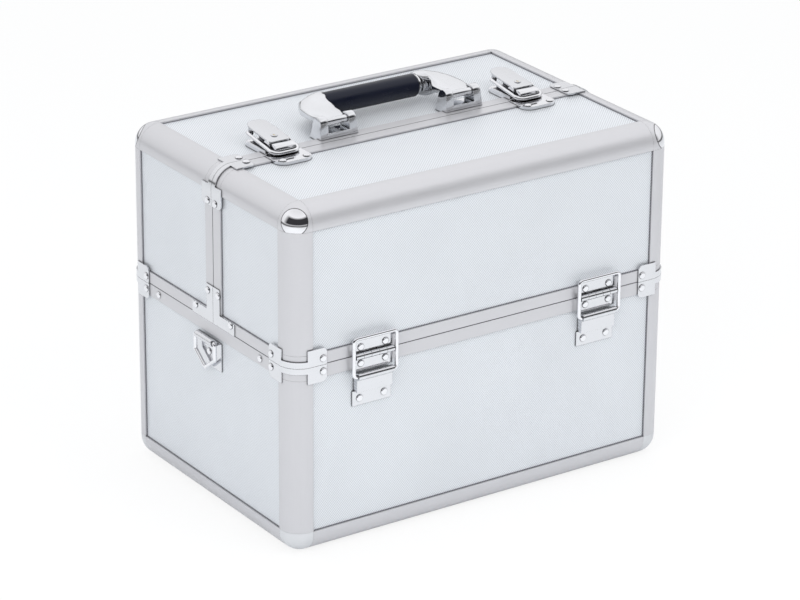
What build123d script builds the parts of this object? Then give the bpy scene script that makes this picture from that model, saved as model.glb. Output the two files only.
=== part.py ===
from build123d import *
import os

# Makeup train case: an aluminium-framed base box and two half lids that swing apart on
# stop hinges, with cantilever trays inside. Millimetres, +Z up, the origin on the floor
# under the middle of the case. +X runs along the long side, -Y is the front.

# ---- overall sizes ----
CASE_WIDTH = 365.0
CASE_DEPTH = 246.0
CASE_HEIGHT = 292.0
SEAM_HEIGHT = 161.0
LID_SPLIT_Y = -8.5
LID_GAP = 0.3
JOINT_LINE = 0.1

# ---- panels and edge extrusion ----
PANEL_THICKNESS = 4.0
PANEL_PLAY = 0.1
EDGE_RADIUS = 17.0
EDGE_WALL = 1.6
EDGE_REACH = 19.5
EDGE_INNER_WALL = 1.2
PANEL_GRIP = 3.9
CORNER_CAP = EDGE_REACH

# ---- rim and seam strips ----
BASE_STRIP = 11.0
LID_STRIP = 9.7
SEAM_STRIP = 11.0
BASE_BRIDGE = 3.0
LID_BRIDGE = 4.0
TONGUE_START = 3.0
TONGUE_THICKNESS = 2.0
TONGUE_HEIGHT = 2.3
TONGUE_PLAY = 0.6
TONGUE_BREAK = 5.0

# ---- corner brackets and rivets ----
BRACKET_THICKNESS = 1.2
BRACKET_START = 14.0
BRACKET_END = 31.5
BRACKET_EAR = 14.0
BRACKET_BAND = 5.0
BRACKET_ROUND = 4.0
JUNCTION_PLATE = 0.8
BRACKET_RIVET_IN = 3.5
BRACKET_RIVET_RISE = 5.4
RIVET_RADIUS = 2.9
RIVET_HEIGHT = 1.1
CORNER_RIVET_REACH = 26.0
CORNER_RIVET_IN = 7.5
RIVET_DOME = 0.9
SIDE_RIVET_Y = 77.0

# ---- stop hinges ----
HINGE_X = 108.5
HINGE_WIDTH = 36.0
HINGE_LEAF = 1.2
HINGE_OFFSET = 3.0
KNUCKLE_RADIUS = 2.7
KNUCKLE_COUNT = 5
KNUCKLE_GAP = 0.2
HINGE_PIN_RADIUS = 1.2
PIN_PLAY = 0.05
LEAF_START = 3.3
UPPER_LEAF_TOP = 12.6
LOWER_LEAF_END = 13.0
LEAF_RIVET_SPACING = 23.0
UPPER_RIVET_RISE = 6.8
LOWER_RIVET_DROP = 7.0
STAY_PIVOT_DROP = 16.5
STAY_PIVOT_OUT = 4.5
STAY_HEIGHT = 32.2
STAY_WIDTH = 43.0
STAY_WIRE = 1.6
STAY_ROLL_RADIUS = 3.0
STAY_ROLL_WIDTH = 33.0
STAY_STEP_DROP = 30.4
STAY_STEP_OUT = 4.0
STAY_PLATE_DROP = 43.0
STAY_RIVET_DROP = 37.0
WIRE_PLAY = 0.1
WIRE_BEND = 3.0

# ---- strap rings on the sides ----
STRAP_PLATE_WIDTH = 36.0
STRAP_PLATE_DROP = 39.0
STRAP_PLATE_THICKNESS = 1.2
STRAP_PIVOT_DROP = 15.0
STRAP_PIVOT_OUT = 3.4
STRAP_RING_WIDTH = 33.0
STRAP_RING_LEG = 14.0
STRAP_RING_DROP = 25.0
STRAP_WIRE = 1.6
STRAP_BEND = 2.0
STRAP_ROLL_RADIUS = 3.0
STRAP_ROLL_WIDTH = 24.4
STRAP_RIVET_DROP = 27.0

# ---- carrying handle ----
HANDLE_X = 60.5
HANDLE_PIVOT_Y = 2.5
HANDLE_PIVOT_RISE = 12.5
HANDLE_REACH = 39.1
HANDLE_RISE = 11.5
HANDLE_BRACKET_WIDTH = 36.0
HANDLE_BRACKET_TOP = 30.0
HANDLE_BRACKET_DEPTH = 15.5
HANDLE_POST = 4.7
HANDLE_KNUCKLE = 5.0
HANDLE_FLARE = 80.0
HANDLE_SILL = 5.0
HANDLE_PIN_RADIUS = 2.0
HANDLE_EYE = 3.2
HANDLE_EYE_PLAY = 0.4
HANDLE_ARM_THICKNESS = 8.0
HANDLE_SHOULDER = 19.0
HANDLE_ARM_START = 2.0
GRIP_RADIUS = 9.6
GRIP_ROOT_X = 49.6
GRIP_LENGTH = 91.0
GRIP_COLLAR_RADIUS = 7.4
GRIP_ROD_RADIUS = 3.0

# ---- draw latches ----
LATCH_X = 118.0
LATCH_PLATE = 1.2
LATCH_PLATE_WIDTH = 28.0
LATCH_PLATE_BACK = 28.0
LATCH_PIVOT_Y = -2.0
LATCH_PIVOT_RISE = 6.0
LATCH_EAR = 1.0
LATCH_EAR_RADIUS = 4.0
LATCH_EAR_PLAY = 0.2
LATCH_PIN_RADIUS = 1.5
LEVER_FRONT_Y = -5.0
LEVER_STEP_Y = 11.0
LEVER_BACK_Y = 33.0
LEVER_FRONT_WIDTH = 18.4
LEVER_BACK_WIDTH = 19.2
LEVER_UNDER = 4.4
LEVER_FRONT_TOP = 9.4
LEVER_BACK_TOP = 14.4
LEVER_TAB = 2.0
BAIL_PIVOT_Y = 24.0
BAIL_PIVOT_RISE = 9.0
BAIL_FRONT_Y = -16.8
BAIL_FRONT_RISE = 3.2
BAIL_WIRE = 1.5
BAIL_WIDTH = 24.8
BAIL_BEND = 7.0
BAIL_END_BEND = 1.8
BAIL_END_GAP = 14.0
BAIL_LUG = 1.6
BAIL_LUG_RADIUS = 3.0
LATCH_PLATE_ROUND = 7.0
LOCK_Y = 3.2
LOCK_RADIUS = 3.0
LOCK_PLAY = 0.05
LOCK_BOTTOM = 6.5
LOCK_TOP = 11.2
LOCK_SLOT = 1.2
KEEPER_WIDTH = 33.0
KEEPER_THICKNESS = 1.2
KEEPER_FRONT_Y = -32.0
KEEPER_ROUND = 9.0
KEEPER_HOOK_WIDTH = 14.4
KEEPER_HOOK_FRONT = -14.7
KEEPER_HOOK = 3.0
KEEPER_HOOK_TOP = 7.0
KEEPER_RIVET_SPACING = 22.0
KEEPER_RIVET_Y = -27.0

# ---- cantilever trays: u runs inward from a hinge line, w up from the seam ----
TRAY_SIDE_PLAY = 3.4
TRAY_FRONT_U = 14.0
TRAY_DEPTH = 96.0
LOWER_TRAY_HEIGHT = 40.0
UPPER_TRAY_HEADROOM = 33.0
TRAY_WALL = 2.5
LOWER_TRAY_W = 12.0
UPPER_TRAY_W = 58.0
TRAY_PIVOT_RISE = 3.0
ARM_PIVOT_U = 22.0
ARM_SPACING = 22.0
ARM_HALF_WIDTH = 4.5
ARM_THICKNESS = 2.0
ARM_SIDE_PLAY = 2.9
STUD_RADIUS = 2.0
STUD_HEAD = 0.4
OPEN_PIVOT_PLAY = 0.3
MOUNT_PLAY = 0.3
MOUNT_THICKNESS = 1.9
MOUNT_RISE = 4.0
DIVIDER_COUNT = 2

# ---- worked out from the sizes above ----
HALF_W = CASE_WIDTH / 2
HALF_D = CASE_DEPTH / 2
PANEL_FACE = EDGE_WALL + PANEL_PLAY
PANEL_BACK = PANEL_FACE + PANEL_THICKNESS
LEG_DEPTH = PANEL_BACK + PANEL_PLAY
INNER_FACE = LEG_DEPTH + EDGE_INNER_WALL
LEG_ROOT = LEG_DEPTH / 2 + 2 * EDGE_INNER_WALL
PANEL_END = EDGE_REACH - PANEL_GRIP
HINGE_LINE = HALF_D + HINGE_OFFSET
SPLIT_FRONT = LID_SPLIT_Y - LID_GAP / 2
SPLIT_BACK = LID_SPLIT_Y + LID_GAP / 2
LID_RIM = SEAM_HEIGHT + JOINT_LINE
MOUNT_OUTER_X = HALF_W - INNER_FACE - MOUNT_PLAY
MOUNT_INNER_X = MOUNT_OUTER_X - MOUNT_THICKNESS
ARM_OUTER_X = MOUNT_INNER_X - ARM_SIDE_PLAY
ARM_INNER_X = ARM_OUTER_X - ARM_THICKNESS
TRAY_LENGTH = 2 * (ARM_INNER_X - TRAY_SIDE_PLAY)
UPPER_TRAY_HEIGHT = CASE_HEIGHT - SEAM_HEIGHT - UPPER_TRAY_W - UPPER_TRAY_HEADROOM

EAST = Vector(1, 0, 0)
NORTH = Vector(0, 1, 0)
UP = Vector(0, 0, 1)
LOW = (Align.MIN, Align.MIN)
LOW3 = (Align.MIN, Align.MIN, Align.MIN)
STANDING = (Align.CENTER, Align.CENTER, Align.MIN)
SIDES = (-1, 1)
SIDE_NAMES = {-1: "left", 1: "right"}

os.makedirs("parts", exist_ok=True)


# ---- helpers ----
def save(piece, name):
    """Label a finished sub-part and write it."""
    piece.part.label = name
    export_step(piece.part, f"parts/{name}.step")


def block(low, high, mode=Mode.ADD):
    """A box between two corners, in the part being built."""
    low, high = Vector(*low), Vector(*high)
    size = high - low
    with Locations((low + high) / 2):
        Box(size.X, size.Y, size.Z, mode=mode)


def rod(start, direction, length, radius, mode=Mode.ADD):
    """A round bar or bore from a start point."""
    with Locations(Plane(origin=start, z_dir=direction)):
        Cylinder(radius, length, align=STANDING, mode=mode)


def corner_plane(point, inward_a, inward_b, along):
    """Plane on an outer edge: x and y run inward over the two faces, z along the edge."""
    first = inward_a if inward_a.cross(inward_b).dot(along) > 0 else inward_b
    return Plane(origin=point, x_dir=first, z_dir=along)


def face_plane(point, inward):
    """Plane on an upright face: x along the face, y inward, z up."""
    return Plane(origin=point, x_dir=inward.cross(UP), z_dir=UP)


def edge_bar(start, inward_a, inward_b, along, length):
    """One length of the rounded edge extrusion."""
    with BuildSketch(corner_plane(start, inward_a, inward_b, along)) as section:
        add(edge_section.sketch)
    extrude(section.sketch, amount=length)


def strip_bar(section, middle, inward, away, length):
    """A straight length of a rim or seam strip, from its middle both ways."""
    plane = Plane(origin=middle, x_dir=inward, z_dir=inward.cross(away))
    with BuildSketch(plane) as placed:
        add(section.sketch)
    extrude(placed.sketch, amount=length / 2, both=True)


def strip_bend(section, centre, out_a, out_b, away):
    """A quarter bend of a strip round a corner, about its centre."""
    inward = out_a * -1
    plane = Plane(origin=centre + out_a * EDGE_RADIUS, x_dir=inward, z_dir=inward.cross(away))
    with BuildSketch(plane) as placed:
        add(section.sketch)
    revolve(placed.sketch, axis=Axis(centre, out_a.cross(out_b)), revolution_arc=90)


def rivet_row(points, outward):
    """Domed rivet heads standing on a face."""
    with Locations(*[Plane(origin=point, z_dir=outward) for point in points]):
        add(rivet_head.part)


def wire_loop(plane, points, radius, bend):
    """A closed wire of round section, bent through the points."""
    with BuildLine(plane) as path:
        FilletPolyline(*points, radius=bend, close=True)
    start = Plane(origin=path.line @ 0, z_dir=path.line % 0)
    with BuildSketch(start) as section:
        Circle(radius)
    sweep(section.sketch, path=path.line)


# ---- shared sections and fittings ----
with BuildSketch() as edge_section:
    with Locations((EDGE_RADIUS, EDGE_RADIUS)):
        Circle(EDGE_RADIUS)
        Circle(EDGE_RADIUS - EDGE_WALL, mode=Mode.SUBTRACT)
    Rectangle(EDGE_RADIUS, EDGE_RADIUS, align=LOW, mode=Mode.INTERSECT)
    with Locations((EDGE_RADIUS, 0)):
        Rectangle(EDGE_REACH - EDGE_RADIUS, EDGE_WALL, align=LOW)
    with Locations((0, EDGE_RADIUS)):
        Rectangle(EDGE_WALL, EDGE_REACH - EDGE_RADIUS, align=LOW)
    with Locations((LEG_ROOT, LEG_DEPTH)):
        Rectangle(EDGE_REACH - LEG_ROOT, EDGE_INNER_WALL, align=LOW)
    with Locations((LEG_DEPTH, LEG_ROOT)):
        Rectangle(EDGE_INNER_WALL, EDGE_REACH - LEG_ROOT, align=LOW)

with BuildSketch() as base_rim_section:
    Rectangle(EDGE_WALL, BASE_STRIP, align=LOW)
    Rectangle(INNER_FACE, BASE_BRIDGE, align=LOW)
    with Locations((LEG_DEPTH, 0)):
        Rectangle(EDGE_INNER_WALL, BASE_STRIP, align=LOW)
    with Locations((TONGUE_START, -TONGUE_HEIGHT)):
        Rectangle(TONGUE_THICKNESS, TONGUE_HEIGHT, align=LOW)

with BuildSketch() as lid_rim_section:
    Rectangle(EDGE_WALL, LID_STRIP, align=LOW)
    Rectangle(INNER_FACE, LID_BRIDGE, align=LOW)
    with Locations((LEG_DEPTH, 0)):
        Rectangle(EDGE_INNER_WALL, LID_STRIP, align=LOW)
    with Locations((TONGUE_START - TONGUE_PLAY, 0)):
        Rectangle(
            TONGUE_THICKNESS + 2 * TONGUE_PLAY,
            TONGUE_HEIGHT + TONGUE_PLAY,
            align=LOW,
            mode=Mode.SUBTRACT,
        )

with BuildSketch() as seam_section:
    Rectangle(EDGE_WALL, SEAM_STRIP, align=LOW)
    Rectangle(INNER_FACE, LID_BRIDGE, align=LOW)
    with Locations((LEG_DEPTH, 0)):
        Rectangle(EDGE_INNER_WALL, SEAM_STRIP, align=LOW)

with BuildPart() as rivet_head:
    Cylinder(RIVET_RADIUS, RIVET_HEIGHT, align=STANDING)
    fillet(rivet_head.faces().sort_by(Axis.Z)[-1].edges(), RIVET_DOME)


def rounded_corner(size, radius, start):
    """A cube whose three edges at the outer corner are rounded into a ball."""
    with BuildPart() as corner:
        Box(size, size, size, align=LOW3)
        outer = [e for e in corner.edges() if min((e @ 0).length, (e @ 1).length) < radius / 100]
        fillet(outer, radius)
    return corner.part.moved(Location((start, start, start)))


with BuildPart() as corner_cap:
    add(rounded_corner(CORNER_CAP, EDGE_RADIUS, 0))
    add(
        rounded_corner(CORNER_CAP, EDGE_RADIUS - EDGE_WALL, EDGE_WALL),
        mode=Mode.SUBTRACT,
    )

with BuildPart() as corner_bracket:
    with BuildSketch():
        with Locations((EDGE_RADIUS, EDGE_RADIUS)):
            Circle(EDGE_RADIUS + BRACKET_THICKNESS)
            Circle(EDGE_RADIUS, mode=Mode.SUBTRACT)
        with Locations((-BRACKET_THICKNESS, -BRACKET_THICKNESS)):
            Rectangle(
                EDGE_RADIUS + BRACKET_THICKNESS,
                EDGE_RADIUS + BRACKET_THICKNESS,
                align=LOW,
                mode=Mode.INTERSECT,
            )
        with Locations((EDGE_RADIUS, -BRACKET_THICKNESS)):
            Rectangle(BRACKET_END - EDGE_RADIUS, BRACKET_THICKNESS, align=LOW)
        with Locations((-BRACKET_THICKNESS, EDGE_RADIUS)):
            Rectangle(BRACKET_THICKNESS, BRACKET_END - EDGE_RADIUS, align=LOW)
    extrude(amount=BRACKET_EAR)
    ear_corners = corner_bracket.edges().filter_by(
        lambda e: e.length < 2 * BRACKET_THICKNESS
        and e.center().Z > BRACKET_EAR - BRACKET_THICKNESS
        and max(e.center().X, e.center().Y) > BRACKET_END - BRACKET_THICKNESS
    )
    fillet(ear_corners, BRACKET_ROUND)
    block(
        (-2 * BRACKET_THICKNESS, -2 * BRACKET_THICKNESS, BRACKET_BAND),
        (BRACKET_START, BRACKET_START, 2 * BRACKET_EAR),
        mode=Mode.SUBTRACT,
    )


def upright_corner(side, face, height):
    """Outer corner point of the case and its two inward directions."""
    point = Vector(side * HALF_W, face * HALF_D, height)
    return point, EAST * -side, NORTH * -face


def bracket_at(point, inward_a, inward_b, along):
    """Put a corner bracket on an edge, growing along it."""
    with Locations(corner_plane(point, inward_a, inward_b, along)):
        add(corner_bracket.part)


def bracket_rivets(point, inward_a, inward_b, along):
    """Two rivets on the ears of a corner bracket, one on each face."""
    reach = BRACKET_END - BRACKET_RIVET_IN
    for inward, other in ((inward_a, inward_b), (inward_b, inward_a)):
        spot = point + inward * reach + along * BRACKET_RIVET_RISE - other * BRACKET_THICKNESS
        rivet_row([spot], other * -1)


# ---- base box ----
PANEL_TOP = SEAM_HEIGHT - BASE_BRIDGE - PANEL_PLAY
for name, face in (("base_front_panel", -1), ("base_back_panel", 1)):
    skin = sorted((face * (HALF_D - PANEL_FACE), face * (HALF_D - PANEL_BACK)))
    with BuildPart() as wall:
        block((PANEL_END - HALF_W, skin[0], PANEL_END), (HALF_W - PANEL_END, skin[1], PANEL_TOP))
    save(wall, name)

with BuildPart() as base_side_panels:
    for side in SIDES:
        skin = sorted((side * (HALF_W - PANEL_FACE), side * (HALF_W - PANEL_BACK)))
        block((skin[0], PANEL_END - HALF_D, PANEL_END), (skin[1], HALF_D - PANEL_END, PANEL_TOP))
save(base_side_panels, "base_side_panels")

with BuildPart() as base_bottom_panel:
    block(
        (PANEL_END - HALF_W, PANEL_END - HALF_D, PANEL_FACE),
        (HALF_W - PANEL_END, HALF_D - PANEL_END, PANEL_BACK),
    )
save(base_bottom_panel, "base_bottom_panel")

CORNERS = [(side, face) for side in SIDES for face in SIDES]
BAR_START = CORNER_CAP + JOINT_LINE
LONG_BAR = CASE_WIDTH - 2 * BAR_START
SHORT_BAR = CASE_DEPTH - 2 * BAR_START

with BuildPart() as base_corner_posts:
    for side, face in CORNERS:
        point, in_x, in_y = upright_corner(side, face, BAR_START)
        edge_bar(point, in_x, in_y, UP, SEAM_HEIGHT - BASE_STRIP - JOINT_LINE - BAR_START)
save(base_corner_posts, "base_corner_posts")

with BuildPart() as base_bottom_edges:
    for face in SIDES:
        edge_bar(Vector(-LONG_BAR / 2, face * HALF_D, 0), NORTH * -face, UP, EAST, LONG_BAR)
    for side in SIDES:
        edge_bar(Vector(side * HALF_W, -SHORT_BAR / 2, 0), EAST * -side, UP, NORTH, SHORT_BAR)
save(base_bottom_edges, "base_bottom_edges")

with BuildPart() as base_corner_caps:
    for side, face in CORNERS:
        point, in_x, in_y = upright_corner(side, face, 0)
        with Locations(corner_plane(point, in_x, in_y, UP)):
            add(corner_cap.part)
save(base_corner_caps, "base_corner_caps")

BEND_X = HALF_W - EDGE_RADIUS
BEND_Y = HALF_D - EDGE_RADIUS
with BuildPart() as base_rim_frame:
    for face in SIDES:
        middle = Vector(0, face * HALF_D, SEAM_HEIGHT)
        strip_bar(base_rim_section, middle, NORTH * -face, UP * -1, 2 * (BEND_X - JOINT_LINE))
    for side in SIDES:
        middle = Vector(side * HALF_W, 0, SEAM_HEIGHT)
        strip_bar(base_rim_section, middle, EAST * -side, UP * -1, 2 * (BEND_Y - JOINT_LINE))
    for side, face in CORNERS:
        centre = Vector(side * BEND_X, face * BEND_Y, SEAM_HEIGHT)
        strip_bend(base_rim_section, centre, EAST * side, NORTH * face, UP * -1)
    block(
        (-CASE_WIDTH, LID_SPLIT_Y - TONGUE_BREAK, SEAM_HEIGHT),
        (CASE_WIDTH, LID_SPLIT_Y + TONGUE_BREAK, SEAM_HEIGHT + 2 * TONGUE_HEIGHT),
        mode=Mode.SUBTRACT,
    )
save(base_rim_frame, "base_rim_frame")

with BuildPart() as base_rim_brackets:
    for side, face in CORNERS:
        point, in_x, in_y = upright_corner(side, face, SEAM_HEIGHT - JOINT_LINE)
        bracket_at(point, in_x, in_y, UP * -1)
save(base_rim_brackets, "base_rim_brackets")

# ---- stop hinges, made once on a face plane and placed at the four hinge spots ----
SEGMENT = HINGE_WIDTH / KNUCKLE_COUNT


def knuckles(first, mode_z):
    """Every second knuckle of a hinge, with the tab that joins it to its leaf."""
    for index in range(first, KNUCKLE_COUNT, 2):
        left = index * SEGMENT - HINGE_WIDTH / 2 + KNUCKLE_GAP / 2
        length = SEGMENT - KNUCKLE_GAP
        rod((left, -HINGE_OFFSET, 0), EAST, length, KNUCKLE_RADIUS)
        z_low, z_high = sorted((0, mode_z * LEAF_START))
        block((left, -HINGE_LEAF, z_low), (left + length, 0, z_high))


def leaf_bore():
    """Pin bore through a hinge leaf's knuckles."""
    start = (-HINGE_WIDTH, -HINGE_OFFSET, 0)
    rod(start, EAST, 2 * HINGE_WIDTH, HINGE_PIN_RADIUS + PIN_PLAY, mode=Mode.SUBTRACT)


with BuildPart() as lower_leaf:
    block((-HINGE_WIDTH / 2, -HINGE_LEAF, -LOWER_LEAF_END), (HINGE_WIDTH / 2, 0, -LEAF_START))
    knuckles(0, -1)
    leaf_bore()

with BuildPart() as upper_leaf:
    block((-HINGE_WIDTH / 2, -HINGE_LEAF, LEAF_START), (HINGE_WIDTH / 2, 0, UPPER_LEAF_TOP))
    knuckles(1, 1)
    leaf_bore()

with BuildPart() as stay_plate:
    block(
        (-HINGE_WIDTH / 2, PANEL_FACE - HINGE_LEAF, -STAY_PLATE_DROP),
        (HINGE_WIDTH / 2, PANEL_FACE, -STAY_STEP_DROP),
    )
    block(
        (-STAY_ROLL_WIDTH / 2, -STAY_STEP_OUT, -STAY_STEP_DROP),
        (STAY_ROLL_WIDTH / 2, PANEL_FACE, -STAY_PIVOT_DROP),
    )
    roll_start = (-STAY_ROLL_WIDTH / 2, -STAY_PIVOT_OUT, -STAY_PIVOT_DROP)
    rod(roll_start, EAST, STAY_ROLL_WIDTH, STAY_ROLL_RADIUS)
    rod(roll_start, EAST, STAY_ROLL_WIDTH, STAY_WIRE + WIRE_PLAY, mode=Mode.SUBTRACT)

with BuildPart() as stay_ring:
    half = STAY_WIDTH / 2 - STAY_WIRE
    ring_points = (
        (half, -STAY_PIVOT_DROP),
        (half, STAY_HEIGHT - STAY_PIVOT_DROP),
        (-half, STAY_HEIGHT - STAY_PIVOT_DROP),
        (-half, -STAY_PIVOT_DROP),
    )
    ring_plane = Plane(origin=(0, -STAY_PIVOT_OUT, 0), x_dir=EAST, z_dir=NORTH * -1)
    wire_loop(ring_plane, ring_points, STAY_WIRE, WIRE_BEND)


def hinge_planes(face):
    """Face planes at the two hinges of the front or back."""
    return [
        face_plane(Vector(side * HINGE_X, face * HALF_D, SEAM_HEIGHT), NORTH * -face)
        for side in SIDES
    ]


ALL_HINGES = hinge_planes(-1) + hinge_planes(1)
with BuildPart() as hinge_base_leaves:
    with Locations(*ALL_HINGES):
        add(lower_leaf.part)
save(hinge_base_leaves, "hinge_base_leaves")

with BuildPart() as hinge_pins:
    for plane in ALL_HINGES:
        start = plane.from_local_coords(Vector(-HINGE_WIDTH / 2, -HINGE_OFFSET, 0))
        rod(start, plane.x_dir, HINGE_WIDTH, HINGE_PIN_RADIUS)
save(hinge_pins, "hinge_pins")

with BuildPart() as hinge_stay_plates:
    with Locations(*ALL_HINGES):
        add(stay_plate.part)
save(hinge_stay_plates, "hinge_stay_plates")

for name, face in (("front_stay_rings", -1), ("back_stay_rings", 1)):
    with BuildPart() as rings:
        with Locations(*hinge_planes(face)):
            add(stay_ring.part)
    save(rings, name)

# ---- strap rings ----
STRAP_PLANES = {side: face_plane(Vector(side * HALF_W, 0, SEAM_HEIGHT), EAST * -side) for side in SIDES}
with BuildPart() as strap_plate:
    block(
        (-STRAP_PLATE_WIDTH / 2, PANEL_FACE - STRAP_PLATE_THICKNESS, -STRAP_PLATE_DROP),
        (STRAP_PLATE_WIDTH / 2, PANEL_FACE, -STRAP_PIVOT_DROP),
    )
    block(
        (-STRAP_ROLL_WIDTH / 2, -STRAP_PIVOT_OUT, -STRAP_PIVOT_DROP - STRAP_ROLL_RADIUS),
        (STRAP_ROLL_WIDTH / 2, PANEL_FACE, -STRAP_PIVOT_DROP),
    )
    strap_roll = (-STRAP_ROLL_WIDTH / 2, -STRAP_PIVOT_OUT, -STRAP_PIVOT_DROP)
    rod(strap_roll, EAST, STRAP_ROLL_WIDTH, STRAP_ROLL_RADIUS)
    rod(strap_roll, EAST, STRAP_ROLL_WIDTH, STRAP_WIRE + WIRE_PLAY, mode=Mode.SUBTRACT)

with BuildPart() as strap_plates:
    with Locations(*STRAP_PLANES.values()):
        add(strap_plate.part)
save(strap_plates, "strap_plates")

for side in SIDES:
    with BuildPart() as strap_ring:
        half = STRAP_RING_WIDTH / 2 - STRAP_WIRE
        leg_end = -STRAP_PIVOT_DROP - STRAP_RING_LEG
        loop = (
            (half, -STRAP_PIVOT_DROP),
            (-half, -STRAP_PIVOT_DROP),
            (-half, leg_end),
            (0, -STRAP_PIVOT_DROP - STRAP_RING_DROP),
            (half, leg_end),
        )
        base = STRAP_PLANES[side]
        out = base.y_dir * -1
        strap_origin = base.origin + out * STRAP_PIVOT_OUT
        wire_loop(Plane(origin=strap_origin, x_dir=base.x_dir, z_dir=out), loop, STRAP_WIRE, STRAP_BEND)
    save(strap_ring, f"strap_ring_{SIDE_NAMES[side]}")

# ---- rivets of the base ----
with BuildPart() as base_rivets:
    for side, face in CORNERS:
        point, in_x, in_y = upright_corner(side, face, SEAM_HEIGHT)
        bracket_rivets(point, in_x, in_y, UP * -1)
    for plane in ALL_HINGES:
        out = plane.y_dir * -1
        for side in SIDES:
            along = side * LEAF_RIVET_SPACING / 2
            for level, drop in ((0, LOWER_RIVET_DROP), (PANEL_FACE, STAY_RIVET_DROP)):
                spot = plane.from_local_coords(Vector(along, level - HINGE_LEAF, -drop))
                rivet_row([spot], out)
    for side in SIDES:
        reach = HALF_W - PANEL_FACE + STRAP_PLATE_THICKNESS
        spot = Vector(side * reach, 0, SEAM_HEIGHT - STRAP_RIVET_DROP)
        rivet_row([spot], EAST * side)
        for y in (-SIDE_RIVET_Y, SIDE_RIVET_Y):
            spot = Vector(side * HALF_W, y, SEAM_HEIGHT - BRACKET_RIVET_RISE)
            rivet_row([spot], EAST * side)
save(base_rivets, "base_rivets")

# ---- arm mounts of the trays, on the base's side walls ----
with BuildPart() as tray_arm_mounts:
    for side, face in CORNERS:
        plate_x = sorted((side * MOUNT_INNER_X, side * MOUNT_OUTER_X))
        foot_x = sorted((side * MOUNT_OUTER_X, side * (HALF_W - INNER_FACE)))
        far = HINGE_LINE - ARM_PIVOT_U - ARM_SPACING - 2 * ARM_HALF_WIDTH
        mount_y = sorted((face * (BEND_Y - JOINT_LINE), face * far))
        block(
            (plate_x[0], mount_y[0], SEAM_HEIGHT - BASE_STRIP),
            (plate_x[1], mount_y[1], SEAM_HEIGHT + MOUNT_RISE),
        )
        block(
            (foot_x[0], mount_y[0], SEAM_HEIGHT - BASE_STRIP),
            (foot_x[1], mount_y[1], SEAM_HEIGHT - JOINT_LINE),
        )
        for pivot in (ARM_PIVOT_U, ARM_PIVOT_U + ARM_SPACING):
            start = (side * MOUNT_INNER_X, face * (HINGE_LINE - pivot), SEAM_HEIGHT)
            rod(start, EAST * -side, MOUNT_INNER_X - ARM_INNER_X + STUD_HEAD, STUD_RADIUS)
save(tray_arm_mounts, "tray_arm_mounts")

# ---- the two half lids ----
LID_TOP = CASE_HEIGHT
STAND_LENGTH = CASE_HEIGHT - LID_RIM - LID_STRIP - JOINT_LINE - BAR_START
STUD_W = UPPER_TRAY_W + TRAY_PIVOT_RISE
TRAY_STUD_REACH = HALF_W - PANEL_BACK - TRAY_LENGTH / 2 + TRAY_WALL


def mitre(split, face, low_side):
    """Cut a strip along the line between the rim strip and the seam strip."""
    edge = Vector(0, split, LID_RIM)
    inner = Vector(0, split + face * SEAM_STRIP, LID_RIM + LID_STRIP)
    third = Vector(0, inner.Y, edge.Z) if low_side else Vector(0, edge.Y, inner.Z)
    with BuildSketch(Plane.YZ) as wedge:
        Polygon((edge.Y, edge.Z), (inner.Y, inner.Z), (third.Y, third.Z), align=None)
    extrude(wedge.sketch, amount=CASE_WIDTH, both=True, mode=Mode.SUBTRACT)


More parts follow.
